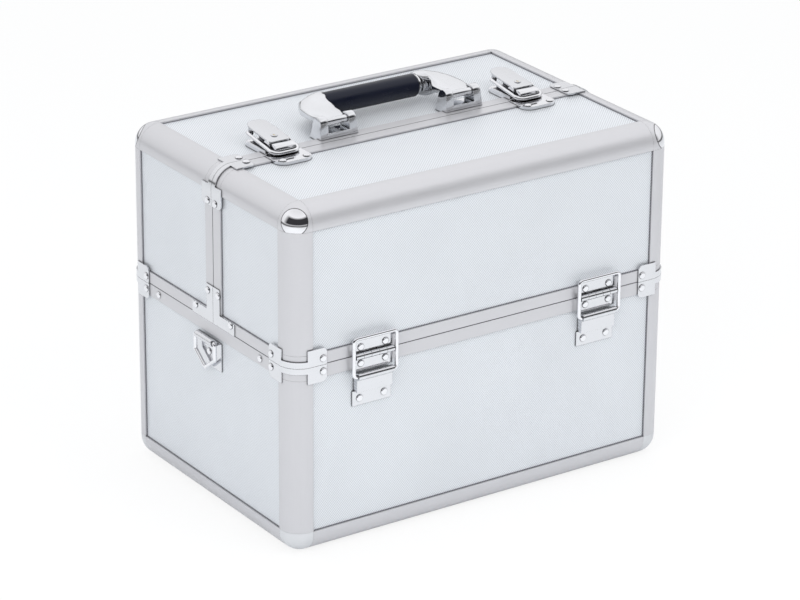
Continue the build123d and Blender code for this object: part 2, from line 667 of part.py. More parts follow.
def half_lid(name, face, split):
    """Panels, extrusions, strips and brackets of one half lid."""
    out = NORTH * face
    far = face * (HALF_D - PANEL_END)
    near = split + face * (LID_BRIDGE + PANEL_PLAY)
    y_low, y_high = sorted((far, near))
    wall_low = LID_RIM + LID_BRIDGE + PANEL_PLAY
    wall_high = LID_TOP - PANEL_END
    skin_y = sorted((face * (HALF_D - PANEL_FACE), face * (HALF_D - PANEL_BACK)))

    with BuildPart() as outer_panel:
        block((PANEL_END - HALF_W, skin_y[0], wall_low), (HALF_W - PANEL_END, skin_y[1], wall_high))
    save(outer_panel, f"{name}_{name.split('_')[0]}_panel")

    with BuildPart() as top_panel:
        block(
            (PANEL_END - HALF_W, y_low, LID_TOP - PANEL_BACK),
            (HALF_W - PANEL_END, y_high, LID_TOP - PANEL_FACE),
        )
    save(top_panel, f"{name}_top_panel")

    with BuildPart() as side_panels:
        for side in SIDES:
            skin_x = sorted((side * (HALF_W - PANEL_FACE), side * (HALF_W - PANEL_BACK)))
            block((skin_x[0], y_low, wall_low), (skin_x[1], y_high, wall_high))
    save(side_panels, f"{name}_side_panels")

    with BuildPart() as edge_profiles:
        for side in SIDES:
            point, in_x, in_y = upright_corner(side, face, LID_RIM + LID_STRIP + JOINT_LINE)
            edge_bar(point, in_x, in_y, UP, STAND_LENGTH)
            seam_end = split + face * (SEAM_STRIP + JOINT_LINE)
            cap_end = face * (HALF_D - BAR_START)
            start = Vector(side * HALF_W, min(seam_end, cap_end), LID_TOP)
            edge_bar(start, EAST * -side, UP * -1, NORTH, abs(cap_end - seam_end))
        start = Vector(-LONG_BAR / 2, face * HALF_D, LID_TOP)
        edge_bar(start, out * -1, UP * -1, EAST, LONG_BAR)
    save(edge_profiles, f"{name}_edge_profiles")

    with BuildPart() as caps:
        for side in SIDES:
            point, in_x, in_y = upright_corner(side, face, LID_TOP)
            with Locations(corner_plane(point, in_x, in_y, UP * -1)):
                add(corner_cap.part)
    save(caps, f"{name}_corner_caps")

    with BuildPart() as rim_frame:
        middle = Vector(0, face * HALF_D, LID_RIM)
        strip_bar(lid_rim_section, middle, out * -1, UP, 2 * (BEND_X - JOINT_LINE))
        side_ends = (split, face * (BEND_Y - JOINT_LINE))
        for side in SIDES:
            middle = Vector(side * HALF_W, sum(side_ends) / 2, LID_RIM)
            strip_bar(lid_rim_section, middle, EAST * -side, UP, abs(side_ends[1] - side_ends[0]))
            centre = Vector(side * BEND_X, face * BEND_Y, LID_RIM)
            strip_bend(lid_rim_section, centre, EAST * side, out, UP)
        mitre(split, face, low_side=False)
    save(rim_frame, f"{name}_rim_frame")

    with BuildPart() as seam_frame:
        middle = Vector(0, split, LID_TOP)
        strip_bar(seam_section, middle, UP * -1, out, 2 * (BEND_X - JOINT_LINE))
        bend_z = LID_TOP - EDGE_RADIUS
        for side in SIDES:
            post = bend_z - JOINT_LINE - LID_RIM
            middle = Vector(side * HALF_W, split, LID_RIM + post / 2)
            strip_bar(seam_section, middle, EAST * -side, out, post)
            strip_bend(seam_section, Vector(side * BEND_X, split, bend_z), EAST * side, UP, out)
        mitre(split, face, low_side=True)
    save(seam_frame, f"{name}_seam_frame")

    with BuildPart() as brackets:
        for side in SIDES:
            point, in_x, in_y = upright_corner(side, face, LID_RIM)
            bracket_at(point, in_x, in_y, UP)
            top = Vector(side * HALF_W, split, LID_TOP)
            bracket_at(top, EAST * -side, UP * -1, out)
            plate_y = sorted((split, split + face * BRACKET_END))
            leg_y = sorted((split, split + face * LID_STRIP))
            face_x = sorted((side * HALF_W, side * (HALF_W + JUNCTION_PLATE)))
            block((face_x[0], plate_y[0], LID_RIM), (face_x[1], plate_y[1], LID_RIM + LID_STRIP))
            block((face_x[0], leg_y[0], LID_RIM), (face_x[1], leg_y[1], LID_RIM + BRACKET_END))
    save(brackets, f"{name}_brackets")

    with BuildPart() as leaves:
        with Locations(*hinge_planes(face)):
            add(upper_leaf.part)
    save(leaves, f"{name}_hinge_leaves")

    with BuildPart() as rivets:
        for side in SIDES:
            point, in_x, in_y = upright_corner(side, face, LID_RIM)
            bracket_rivets(point, in_x, in_y, UP)
            bracket_rivets(Vector(side * HALF_W, split, LID_TOP), EAST * -side, UP * -1, out)
            corner_low = (split + face * CORNER_RIVET_REACH, LID_RIM + CORNER_RIVET_IN)
            corner_high = (split + face * CORNER_RIVET_IN, LID_RIM + CORNER_RIVET_REACH)
            for y, z in (corner_low, corner_high):
                rivet_row([Vector(side * (HALF_W + JUNCTION_PLATE), y, z)], EAST * side)
        for plane in hinge_planes(face):
            for side in SIDES:
                along = side * LEAF_RIVET_SPACING / 2
                spot = plane.from_local_coords(Vector(along, -HINGE_LEAF, UPPER_RIVET_RISE))
                rivet_row([spot], plane.y_dir * -1)
        for side in SIDES:
            if face < 0:
                for spread in SIDES:
                    x = side * LATCH_X + spread * KEEPER_RIVET_SPACING / 2
                    rivet_row([Vector(x, KEEPER_RIVET_Y, LID_TOP + KEEPER_THICKNESS)], UP)
    save(rivets, f"{name}_rivets")

    with BuildPart() as tray_pins:
        for side in SIDES:
            start = (side * (HALF_W - PANEL_BACK), face * (HINGE_LINE - STUD_W), SEAM_HEIGHT + STUD_W)
            rod(start, EAST * -side, TRAY_STUD_REACH, STUD_RADIUS)
    save(tray_pins, f"{name}_tray_pins")


half_lid("front_lid", -1, SPLIT_FRONT)
half_lid("back_lid", 1, SPLIT_BACK)

# ---- draw latches: keepers on the front lid, the rest on the back lid ----
FRONT_STRIP_END = SPLIT_FRONT - SEAM_STRIP - JOINT_LINE
BACK_STRIP_END = SPLIT_BACK + SEAM_STRIP + JOINT_LINE
LEVER_SLOPE = (LEVER_BACK_TOP - LEVER_FRONT_TOP) / (LEVER_BACK_Y - LEVER_FRONT_Y)
LEVER_STEP_TOP = LEVER_FRONT_TOP + LEVER_SLOPE * (LEVER_STEP_Y - LEVER_FRONT_Y)
EAR_START = LEVER_FRONT_WIDTH / 2 + LATCH_EAR_PLAY


def lid_plate(x, front_y, back_y, width, rounding, low, thickness, end=0):
    """A flat plate on the lid, rounded at its front (end 0) or back (end -1)."""
    with BuildSketch(Plane.XY.offset(low)) as outline:
        with Locations((x - width / 2, front_y)):
            Rectangle(width, back_y - front_y, align=LOW)
        fillet(outline.vertices().group_by(Axis.Y)[end], rounding)
    extrude(outline.sketch, amount=thickness)


with BuildPart() as latch_keepers:
    for side in SIDES:
        x = side * LATCH_X
        lid_plate(x, KEEPER_FRONT_Y, SPLIT_FRONT, KEEPER_WIDTH, KEEPER_ROUND, LID_TOP, KEEPER_THICKNESS)
        lid_plate(
            x,
            KEEPER_FRONT_Y,
            FRONT_STRIP_END,
            KEEPER_WIDTH,
            KEEPER_ROUND,
            LID_TOP - PANEL_FACE,
            PANEL_FACE,
        )
        block(
            (x - KEEPER_HOOK_WIDTH / 2, KEEPER_HOOK_FRONT, LID_TOP),
            (x + KEEPER_HOOK_WIDTH / 2, KEEPER_HOOK_FRONT + KEEPER_HOOK, LID_TOP + KEEPER_HOOK_TOP),
        )
save(latch_keepers, "latch_keepers")

LEVER_LINE = Vector(0, LATCH_PIVOT_Y, LID_TOP + LATCH_PIVOT_RISE)
BAIL_LINE = Vector(0, BAIL_PIVOT_Y, LID_TOP + BAIL_PIVOT_RISE)
with BuildPart() as latch_bases:
    for side in SIDES:
        x = side * LATCH_X
        for start_y, low, thickness in (
            (SPLIT_BACK, LID_TOP, LATCH_PLATE),
            (BACK_STRIP_END, LID_TOP - PANEL_FACE, PANEL_FACE),
        ):
            lid_plate(
                x,
                start_y,
                LATCH_PLATE_BACK,
                LATCH_PLATE_WIDTH,
                LATCH_PLATE_ROUND,
                low,
                thickness,
                end=-1,
            )
        for ear_x in (x - EAR_START - LATCH_EAR, x + EAR_START):
            rod(LEVER_LINE + EAST * ear_x, EAST, LATCH_EAR, LATCH_EAR_RADIUS)
            block(
                (ear_x, LATCH_PIVOT_Y - LATCH_EAR_RADIUS, LID_TOP),
                (ear_x + LATCH_EAR, LATCH_PIVOT_Y + LATCH_EAR_RADIUS, LID_TOP + LATCH_PIVOT_RISE),
            )
        pin_half = EAR_START + LATCH_EAR / 2
        rod(LEVER_LINE + EAST * (x - pin_half), EAST, 2 * pin_half, LATCH_PIN_RADIUS)
save(latch_bases, "latch_bases")

for side in SIDES:
    middle = EAST * (side * LATCH_X)
    with BuildPart() as lever:
        with BuildSketch(Plane.YZ.offset(middle.X)) as front_block:
            Polygon(
                (LEVER_FRONT_Y, LID_TOP + LEVER_UNDER),
                (LEVER_STEP_Y, LID_TOP + LEVER_UNDER),
                (LEVER_STEP_Y, LID_TOP + LEVER_STEP_TOP),
                (LEVER_FRONT_Y, LID_TOP + LEVER_FRONT_TOP),
                align=None,
            )
        extrude(front_block.sketch, amount=LEVER_FRONT_WIDTH / 2, both=True)
        with BuildSketch(Plane.YZ.offset(middle.X)) as tab:
            Polygon(
                (LEVER_STEP_Y, LID_TOP + LEVER_STEP_TOP - LEVER_TAB),
                (LEVER_BACK_Y, LID_TOP + LEVER_BACK_TOP - LEVER_TAB),
                (LEVER_BACK_Y, LID_TOP + LEVER_BACK_TOP),
                (LEVER_STEP_Y, LID_TOP + LEVER_STEP_TOP),
                align=None,
            )
        extrude(tab.sketch, amount=LEVER_BACK_WIDTH / 2, both=True)
        tab_corners = lever.edges().filter_by(
            lambda e: e.center().Y > LEVER_BACK_Y - LEVER_TAB and e.length < 2 * LEVER_TAB
        )
        fillet(tab_corners, LEVER_BACK_WIDTH / 2 - LEVER_TAB / 2)
        for spread in SIDES:
            lug_x = sorted((spread * LEVER_BACK_WIDTH / 2, spread * (LEVER_BACK_WIDTH / 2 - BAIL_LUG)))
            lug = BAIL_LINE + middle + EAST * lug_x[0]
            rod(lug, EAST, BAIL_LUG, BAIL_LUG_RADIUS)
            block(
                (lug.X, BAIL_PIVOT_Y - BAIL_LUG_RADIUS, BAIL_LINE.Z),
                (lug.X + BAIL_LUG, BAIL_PIVOT_Y + BAIL_LUG_RADIUS, BAIL_LINE.Z + LEVER_TAB + BAIL_WIRE),
            )
        start = LEVER_LINE + middle - EAST * LEVER_BACK_WIDTH
        rod(start, EAST, 2 * LEVER_BACK_WIDTH, LATCH_PIN_RADIUS + PIN_PLAY, mode=Mode.SUBTRACT)
        for spread in SIDES:
            start = BAIL_LINE + middle + EAST * (spread * BAIL_END_GAP / 2)
            rod(start, EAST * spread, LEVER_BACK_WIDTH, BAIL_WIRE + PIN_PLAY, mode=Mode.SUBTRACT)
        lock_start = (middle.X, LOCK_Y, LID_TOP + LOCK_BOTTOM)
        rod(lock_start, UP, LEVER_BACK_TOP, LOCK_RADIUS + LOCK_PLAY, mode=Mode.SUBTRACT)
    save(lever, f"latch_lever_{SIDE_NAMES[side]}")

    with BuildPart() as bail:
        half = BAIL_WIDTH / 2
        reach = Vector(0, BAIL_FRONT_Y - BAIL_PIVOT_Y, BAIL_FRONT_RISE - BAIL_PIVOT_RISE)
        bail_plane = Plane(origin=BAIL_LINE + middle, x_dir=EAST, z_dir=EAST.cross(reach * -1))
        with BuildLine(bail_plane) as bail_path:
            Line((-BAIL_END_GAP / 2, 0), (BAIL_END_BEND - half, 0))
            RadiusArc((BAIL_END_BEND - half, 0), (-half, -BAIL_END_BEND), -BAIL_END_BEND)
            Line((-half, -BAIL_END_BEND), (-half, BAIL_BEND - reach.length))
            RadiusArc((-half, BAIL_BEND - reach.length), (BAIL_BEND - half, -reach.length), -BAIL_BEND)
            Line((BAIL_BEND - half, -reach.length), (half - BAIL_BEND, -reach.length))
            RadiusArc((half - BAIL_BEND, -reach.length), (half, BAIL_BEND - reach.length), -BAIL_BEND)
            Line((half, BAIL_BEND - reach.length), (half, -BAIL_END_BEND))
            RadiusArc((half, -BAIL_END_BEND), (half - BAIL_END_BEND, 0), -BAIL_END_BEND)
            Line((half - BAIL_END_BEND, 0), (BAIL_END_GAP / 2, 0))
        with BuildSketch(Plane(origin=bail_path.line @ 0, z_dir=bail_path.line % 0)) as bail_round:
            Circle(BAIL_WIRE)
        sweep(bail_round.sketch, path=bail_path.line)
    save(bail, f"latch_bail_{SIDE_NAMES[side]}")

    with BuildPart() as lock:
        rod((middle.X, LOCK_Y, LID_TOP + LOCK_BOTTOM), UP, LOCK_TOP - LOCK_BOTTOM, LOCK_RADIUS)
        block(
            (middle.X - LOCK_SLOT / 2, LOCK_Y - LOCK_RADIUS / 2, LID_TOP + LOCK_TOP - LOCK_SLOT),
            (middle.X + LOCK_SLOT / 2, LOCK_Y + LOCK_RADIUS / 2, LID_TOP + LOCK_TOP),
            mode=Mode.SUBTRACT,
        )
    save(lock, f"latch_lock_{SIDE_NAMES[side]}")

# ---- carrying handle ----
PIVOT_Z = LID_TOP + HANDLE_PIVOT_RISE
GRIP_Y = HANDLE_PIVOT_Y + HANDLE_REACH
GRIP_Z = LID_TOP + HANDLE_RISE
BRACKET_FRONT = HANDLE_PIVOT_Y - HANDLE_BRACKET_DEPTH / 2
BRACKET_BACK = HANDLE_PIVOT_Y + HANDLE_BRACKET_DEPTH / 2
EYE_SPACE = HANDLE_BRACKET_TOP - 2 * HANDLE_POST

with BuildPart() as handle_brackets:
    for side in SIDES:
        with BuildSketch(Plane.XZ.offset(-BRACKET_BACK)) as front_view:
            with Locations((side * HANDLE_X, LID_TOP)):
                Trapezoid(
                    HANDLE_BRACKET_WIDTH,
                    HANDLE_PIVOT_RISE + HANDLE_KNUCKLE,
                    HANDLE_FLARE,
                    align=(Align.CENTER, Align.MIN),
                )
        extrude(front_view.sketch, amount=HANDLE_BRACKET_DEPTH)
    with BuildSketch(Plane.YZ) as side_view:
        with Locations((HANDLE_PIVOT_Y, LID_TOP)):
            Rectangle(HANDLE_BRACKET_DEPTH, HANDLE_KNUCKLE / 2, align=(Align.CENTER, Align.MIN))
        with Locations((HANDLE_PIVOT_Y, PIVOT_Z)):
            Circle(HANDLE_KNUCKLE)
        make_hull()
    extrude(side_view.sketch, amount=CASE_WIDTH, both=True, mode=Mode.INTERSECT)
    for side in SIDES:
        eye_low = side * HANDLE_X - EYE_SPACE / 2
        block(
            (eye_low, BRACKET_FRONT - HANDLE_POST, LID_TOP + HANDLE_SILL),
            (eye_low + EYE_SPACE, BRACKET_BACK + HANDLE_POST, PIVOT_Z + 2 * HANDLE_KNUCKLE),
            mode=Mode.SUBTRACT,
        )
        foot_low = side * HANDLE_X - HANDLE_BRACKET_WIDTH / 2
        block(
            (foot_low, BACK_STRIP_END, LID_TOP - PANEL_FACE),
            (foot_low + HANDLE_BRACKET_WIDTH, BRACKET_BACK, LID_TOP),
        )
        pin_start = Vector(side * HANDLE_X - HANDLE_BRACKET_TOP / 2, HANDLE_PIVOT_Y, PIVOT_Z)
        rod(pin_start, EAST, HANDLE_BRACKET_TOP, HANDLE_PIN_RADIUS)
save(handle_brackets, "handle_brackets")

GRIP_START = (JOINT_LINE - GRIP_ROOT_X, GRIP_Y, GRIP_Z)
GRIP_END_X = JOINT_LINE - GRIP_ROOT_X + GRIP_LENGTH
with BuildPart() as handle_arms:
    for side in SIDES:
        eye_low = HANDLE_X - EYE_SPACE / 2 + HANDLE_EYE_PLAY
        eye_high = HANDLE_X + EYE_SPACE / 2 - HANDLE_EYE_PLAY
        arm_front = HANDLE_PIVOT_Y + HANDLE_ARM_START
        arm_back = GRIP_Y + GRIP_RADIUS
        with BuildSketch(Plane.XY.offset(GRIP_Z - HANDLE_ARM_THICKNESS / 2)) as arm_view:
            with BuildLine():
                bulge = HANDLE_SHOULDER / 2**0.5
                centre_x = eye_high - HANDLE_SHOULDER
                Polyline(
                    (side * centre_x, arm_back),
                    (side * GRIP_ROOT_X, arm_back),
                    (side * GRIP_ROOT_X, GRIP_Y - GRIP_RADIUS),
                    (side * eye_low, GRIP_Y - 2 * GRIP_RADIUS),
                    (side * eye_low, arm_front),
                    (side * eye_high, arm_front),
                    (side * eye_high, arm_back - HANDLE_SHOULDER),
                )
                ThreePointArc(
                    (side * eye_high, arm_back - HANDLE_SHOULDER),
                    (side * (centre_x + bulge), arm_back - HANDLE_SHOULDER + bulge),
                    (side * centre_x, arm_back),
                )
            make_face()
        extrude(arm_view.sketch, amount=HANDLE_ARM_THICKNESS)
        eye_start = (side * HANDLE_X - (eye_high - eye_low) / 2, HANDLE_PIVOT_Y, PIVOT_Z)
        rod(eye_start, EAST, eye_high - eye_low, HANDLE_EYE)
        rod(eye_start, EAST, eye_high - eye_low, HANDLE_PIN_RADIUS + PIN_PLAY, mode=Mode.SUBTRACT)
    rod((-GRIP_ROOT_X, GRIP_Y, GRIP_Z), EAST, 2 * GRIP_ROOT_X, GRIP_ROD_RADIUS)
    neck = (GRIP_END_X + JOINT_LINE, GRIP_Y, GRIP_Z)
    rod(neck, EAST, GRIP_ROOT_X - GRIP_END_X - JOINT_LINE, GRIP_COLLAR_RADIUS)
save(handle_arms, "handle_arms")

with BuildPart() as handle_grip:
    rod(GRIP_START, EAST, GRIP_LENGTH, GRIP_RADIUS)
    rod(GRIP_START, EAST, GRIP_LENGTH, GRIP_ROD_RADIUS, mode=Mode.SUBTRACT)
save(handle_grip, "handle_grip")


# ---- cantilever trays ----
def tray_box(face, low_w, height, divided):
    """An open tray with its pivot studs; the upper tray also takes the lid's studs."""
    half = TRAY_LENGTH / 2
    outer = face * (HINGE_LINE - TRAY_FRONT_U)
    inner = face * (HINGE_LINE - TRAY_FRONT_U - TRAY_DEPTH)
    y_low, y_high = sorted((outer, inner))
    floor = SEAM_HEIGHT + low_w
    block((-half, y_low, floor), (half, y_high, floor + height))
    block(
        (TRAY_WALL - half, y_low + TRAY_WALL, floor + TRAY_WALL),
        (half - TRAY_WALL, y_high - TRAY_WALL, floor + 2 * height),
        mode=Mode.SUBTRACT,
    )
    if divided:
        for index in range(1, DIVIDER_COUNT + 1):
            x = -half + index * TRAY_LENGTH / (DIVIDER_COUNT + 1)
            block(
                (x - TRAY_WALL / 2, y_low, floor),
                (x + TRAY_WALL / 2, y_high, floor + height - TRAY_WALL),
            )


def tray_studs(face, low_w):
    """The studs that hang a tray on its arms."""
    pivot_w = low_w + TRAY_PIVOT_RISE
    for arm_u in (ARM_PIVOT_U, ARM_PIVOT_U + ARM_SPACING):
        for side in SIDES:
            start = (
                side * TRAY_LENGTH / 2,
                face * (HINGE_LINE - arm_u - pivot_w),
                SEAM_HEIGHT + pivot_w,
            )
            reach = ARM_INNER_X + ARM_THICKNESS + STUD_HEAD - TRAY_LENGTH / 2
            rod(start, EAST * side, reach, STUD_RADIUS)


def arm_bars(face, pivot_u, plays):
    """The pair of arms on one pivot line, one at each end of the trays."""
    tray_rises = (0, LOWER_TRAY_W + TRAY_PIVOT_RISE, UPPER_TRAY_W + TRAY_PIVOT_RISE)
    spots = [(face * (HINGE_LINE - pivot_u - rise), SEAM_HEIGHT + rise) for rise in tray_rises]
    for side in SIDES:
        start = min(side * ARM_INNER_X, side * (ARM_INNER_X + ARM_THICKNESS))
        with BuildSketch(Plane.YZ.offset(start)) as bar:
            for spot in (spots[0], spots[-1]):
                with Locations(spot):
                    Circle(ARM_HALF_WIDTH)
            make_hull()
            for spot, play in zip(spots, plays):
                with Locations(spot):
                    Circle(STUD_RADIUS + play, mode=Mode.SUBTRACT)
        extrude(bar.sketch, amount=ARM_THICKNESS)


for name, face in (("front", -1), ("back", 1)):
    with BuildPart() as lower_tray:
        tray_box(face, LOWER_TRAY_W, LOWER_TRAY_HEIGHT, divided=False)
        tray_studs(face, LOWER_TRAY_W)
    save(lower_tray, f"{name}_lower_tray")

    with BuildPart() as upper_tray:
        tray_box(face, UPPER_TRAY_W, UPPER_TRAY_HEIGHT, divided=True)
        tray_studs(face, UPPER_TRAY_W)
        for side in SIDES:
            start = (side * TRAY_LENGTH / 2, face * (HINGE_LINE - STUD_W), SEAM_HEIGHT + STUD_W)
            rod(start, EAST * -side, TRAY_WALL, STUD_RADIUS + PIN_PLAY, mode=Mode.SUBTRACT)
    save(upper_tray, f"{name}_upper_tray")

    with BuildPart() as outer_arms:
        arm_bars(face, ARM_PIVOT_U, (PIN_PLAY, PIN_PLAY, OPEN_PIVOT_PLAY))
    save(outer_arms, f"{name}_outer_tray_arms")

    with BuildPart() as inner_arms:
        arm_bars(face, ARM_PIVOT_U + ARM_SPACING, (PIN_PLAY, OPEN_PIVOT_PLAY, OPEN_PIVOT_PLAY))
    save(inner_arms, f"{name}_inner_tray_arms")
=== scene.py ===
"""Looks of a makeup train case: finishes, modelled hardware, light and camera.

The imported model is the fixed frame. Every piece rides on one of its bodies, and lengths in
this script are millimetres unless a name says otherwise; mesh data is in metres.
"""

import logging
import math
from dataclasses import dataclass, replace
from enum import Enum
from typing import Callable, Iterator, Sequence

import bpy
from mathutils import Matrix, Vector


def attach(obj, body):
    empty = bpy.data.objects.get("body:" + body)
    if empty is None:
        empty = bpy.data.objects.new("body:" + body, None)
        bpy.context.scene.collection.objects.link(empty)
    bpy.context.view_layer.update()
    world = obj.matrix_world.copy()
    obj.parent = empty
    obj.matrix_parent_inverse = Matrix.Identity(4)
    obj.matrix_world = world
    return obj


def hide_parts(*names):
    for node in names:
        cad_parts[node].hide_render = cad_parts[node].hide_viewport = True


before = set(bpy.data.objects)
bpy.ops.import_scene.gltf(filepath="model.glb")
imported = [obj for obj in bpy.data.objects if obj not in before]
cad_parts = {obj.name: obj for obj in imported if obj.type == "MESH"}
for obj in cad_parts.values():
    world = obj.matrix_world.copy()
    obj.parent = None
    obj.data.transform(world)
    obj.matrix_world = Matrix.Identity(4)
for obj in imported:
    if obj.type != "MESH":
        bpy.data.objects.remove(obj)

log = logging.getLogger("train_case")

Colour = tuple[float, float, float]
Point = tuple[float, float, float]
Span = tuple[float, float]
Socket = bpy.types.NodeSocket
Test = Callable[[Vector], bool]

MM = 0.001
NEAR = 0.1
WHOLE: Span = (0.0, 1.0)
WHITE: Colour = (1.0, 1.0, 1.0)


@dataclass(frozen=True)
class CaseSizes:
    """Driving sizes of the case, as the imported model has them.

    Attributes:
        half_width, half_depth, height: the body over its extrusions.
        seam: height of the line between the base and the lids.
        split: place along Y of the line between the two lids.
    """

    half_width: float = 182.5
    half_depth: float = 123.0
    height: float = 292.0
    seam: float = 161.0
    split: float = -8.5


CASE = CaseSizes()


class Side(Enum):
    """Left and right of the case, as the sign of X."""

    LEFT = -1
    RIGHT = 1

    @property
    def word(self) -> str:
        """Lower-case word used in node and body names."""
        return self.name.lower()


class Axis(Enum):
    """An axis of the case, as its place in a point."""

    X = 0
    Y = 1
    Z = 2


ROD_TURNS: dict[Axis, Point] = {
    Axis.X: (0.0, math.pi / 2, 0.0),
    Axis.Y: (-math.pi / 2, 0.0, 0.0),
    Axis.Z: (0.0, 0.0, 0.0),
}
PLATE_TURNS: dict[Axis, Point] = {
    Axis.X: (math.pi / 2, 0.0, math.pi / 2),
    Axis.Y: (math.pi / 2, 0.0, 0.0),
    Axis.Z: (0.0, 0.0, 0.0),
}


def metres(point: Point) -> Point:
    """A point or a size in metres."""
    return tuple(value * MM for value in point)


def tinted(colour: Colour, factor: float) -> Colour:
    """A colour made darker or lighter, at most white."""
    return tuple(min(1.0, channel * factor) for channel in colour)


# ---------------------------------------------------------------- node graphs


class Graph:
    """A small builder for shader node trees.

    Attributes:
        MIX_FIRST, MIX_SECOND, MIX_RESULT: the colour sockets of a mix node.
    """

    MIX_FIRST = 6
    MIX_SECOND = 7
    MIX_RESULT = 2

    def __init__(self, tree: bpy.types.NodeTree) -> None:
        """Take over a node tree and empty it."""
        self.tree = tree
        tree.nodes.clear()

    def node(self, kind: str, **settings: object) -> bpy.types.Node:
        """Add a node.

        Args:
            kind: Blender's node type name.
            settings: attributes set on the node.

        Returns:
            The new node.
        """
        made = self.tree.nodes.new(kind)
        for key, value in settings.items():
            setattr(made, key, value)
        return made

    def link(self, source: Socket, target: Socket) -> None:
        """Connect two sockets."""
        self.tree.links.new(source, target)

    def feed(self, node: bpy.types.Node, index: int | str, value: object) -> None:
        """Put a socket or a constant into an input of a node.

        Args:
            node: the node.
            index: number or name of its input.
            value: a socket, a number, a point or a colour; None leaves the input alone.
        """
        target = node.inputs[index]
        if isinstance(value, Socket):
            self.link(value, target)
        elif value is not None:
            target.default_value = (*value, 1.0) if target.type == "RGBA" else value

    def math(self, operation: str, first: object, second: object = None) -> Socket:
        """Run a math node.

        Args:
            operation: Blender's name of the operation.
            first: a socket or a number.
            second: the same, where the operation takes two.

        Returns:
            The result.
        """
        made = self.node("ShaderNodeMath", operation=operation)
        self.feed(made, 0, first)
        self.feed(made, 1, second)
        return made.outputs[0]

    def product(self, first: object, *others: object) -> Socket:
        """Multiply sockets and numbers.

        Args:
            first: a socket or a number.
            others: what it is multiplied by.

        Returns:
            The product.
        """
        result = first
        for other in others:
            result = self.math("MULTIPLY", result, other)
        return result

    def mix(self, factor: object, first: object, second: object) -> Socket:
        """Mix two colours.

        Args:
            factor: share of the second colour.
            first: a colour or a socket.
            second: the same.

        Returns:
            The mixed colour.
        """
        made = self.node("ShaderNodeMix", data_type="RGBA")
        self.feed(made, 0, factor)
        self.feed(made, self.MIX_FIRST, first)
        self.feed(made, self.MIX_SECOND, second)
        return made.outputs[self.MIX_RESULT]

    def remap(self, value: object, span: Span, out: Span = WHOLE) -> Socket:
        """Map a value from one range to another, clamped.

        Args:
            value: a socket or a number.
            span: the range that it comes in.
            out: the range that it goes to.

        Returns:
            The mapped value.
        """
        made = self.node("ShaderNodeMapRange")
        for index, number in enumerate((value, *span, *out)):
            self.feed(made, index, number)
        return made.outputs[0]

    def noise(self, vector: Socket, scale: float, detail: float = 2.0) -> Socket:
        """Noise over a vector.

        Args:
            vector: where the noise is read.
            scale: cells in a metre.
            detail: octaves.

        Returns:
            The noise, mostly between 0.3 and 0.7.
        """
        made = self.node("ShaderNodeTexNoise")
        self.feed(made, "Vector", vector)
        self.feed(made, "Scale", scale)
        self.feed(made, "Detail", detail)
        return made.outputs[0]

    def split(self, vector: Socket) -> tuple[Socket, Socket, Socket]:
        """Take a vector apart.

        Args:
            vector: the vector.

        Returns:
            Its x, y and z.
        """
        made = self.node("ShaderNodeSeparateXYZ")
        self.link(vector, made.inputs[0])
        return made.outputs[0], made.outputs[1], made.outputs[2]

    def coordinates(self, kind: str) -> Socket:
        """A texture coordinate by its name."""
        return self.node("ShaderNodeTexCoord").outputs[kind]

    def stretch(self, vector: Socket, scale: Point) -> Socket:
        """Scale a vector along its axes.

        Args:
            vector: the vector.
            scale: factors along X, Y and Z.

        Returns:
            The scaled vector.
        """
        made = self.node("ShaderNodeMapping")
        self.feed(made, "Vector", vector)
        self.feed(made, "Scale", scale)
        return made.outputs[0]

    def bump(self, height: Socket, lift: float, normal: object = None, strength: float = 1.0) -> Socket:
        """Bump from a height.

        Args:
            height: the pattern, from 0 to 1.
            lift: height of the pattern's full range.
            normal: the normal that it starts from.
            strength: how much of the bump shows.

        Returns:
            The bumped normal.
        """
        made = self.node("ShaderNodeBump")
        self.feed(made, "Strength", strength)
        self.feed(made, "Distance", lift * MM)
        self.feed(made, "Height", height)
        self.feed(made, "Normal", normal)
        return made.outputs[0]


@dataclass
class Paint:
    """A shader while its finish is put on.

    Attributes:
        graph: the material's nodes.
        shader: the Principled node.
        soft: the normal with softened edges, where the finish has one.
    """

    graph: Graph
    shader: bpy.types.Node
    soft: Socket | None = None

    def put(self, name: str, value: object) -> None:
        """Feed a socket or a constant to an input of the shader."""
        self.graph.feed(self.shader, name, value)

    def source(self, name: str) -> Socket | None:
        """What feeds an input of the shader, if anything does."""
        links = self.shader.inputs[name].links
        return links[0].from_socket if links else None


# ------------------------------------------------------------------- finishes


NOISE_MIDDLE: Span = (0.35, 0.65)
NOISE_WIDE: Span = (0.3, 0.7)
EDGE_SAMPLES = 4
CREVICE_SAMPLES = 8
FACES_UP = 0.5


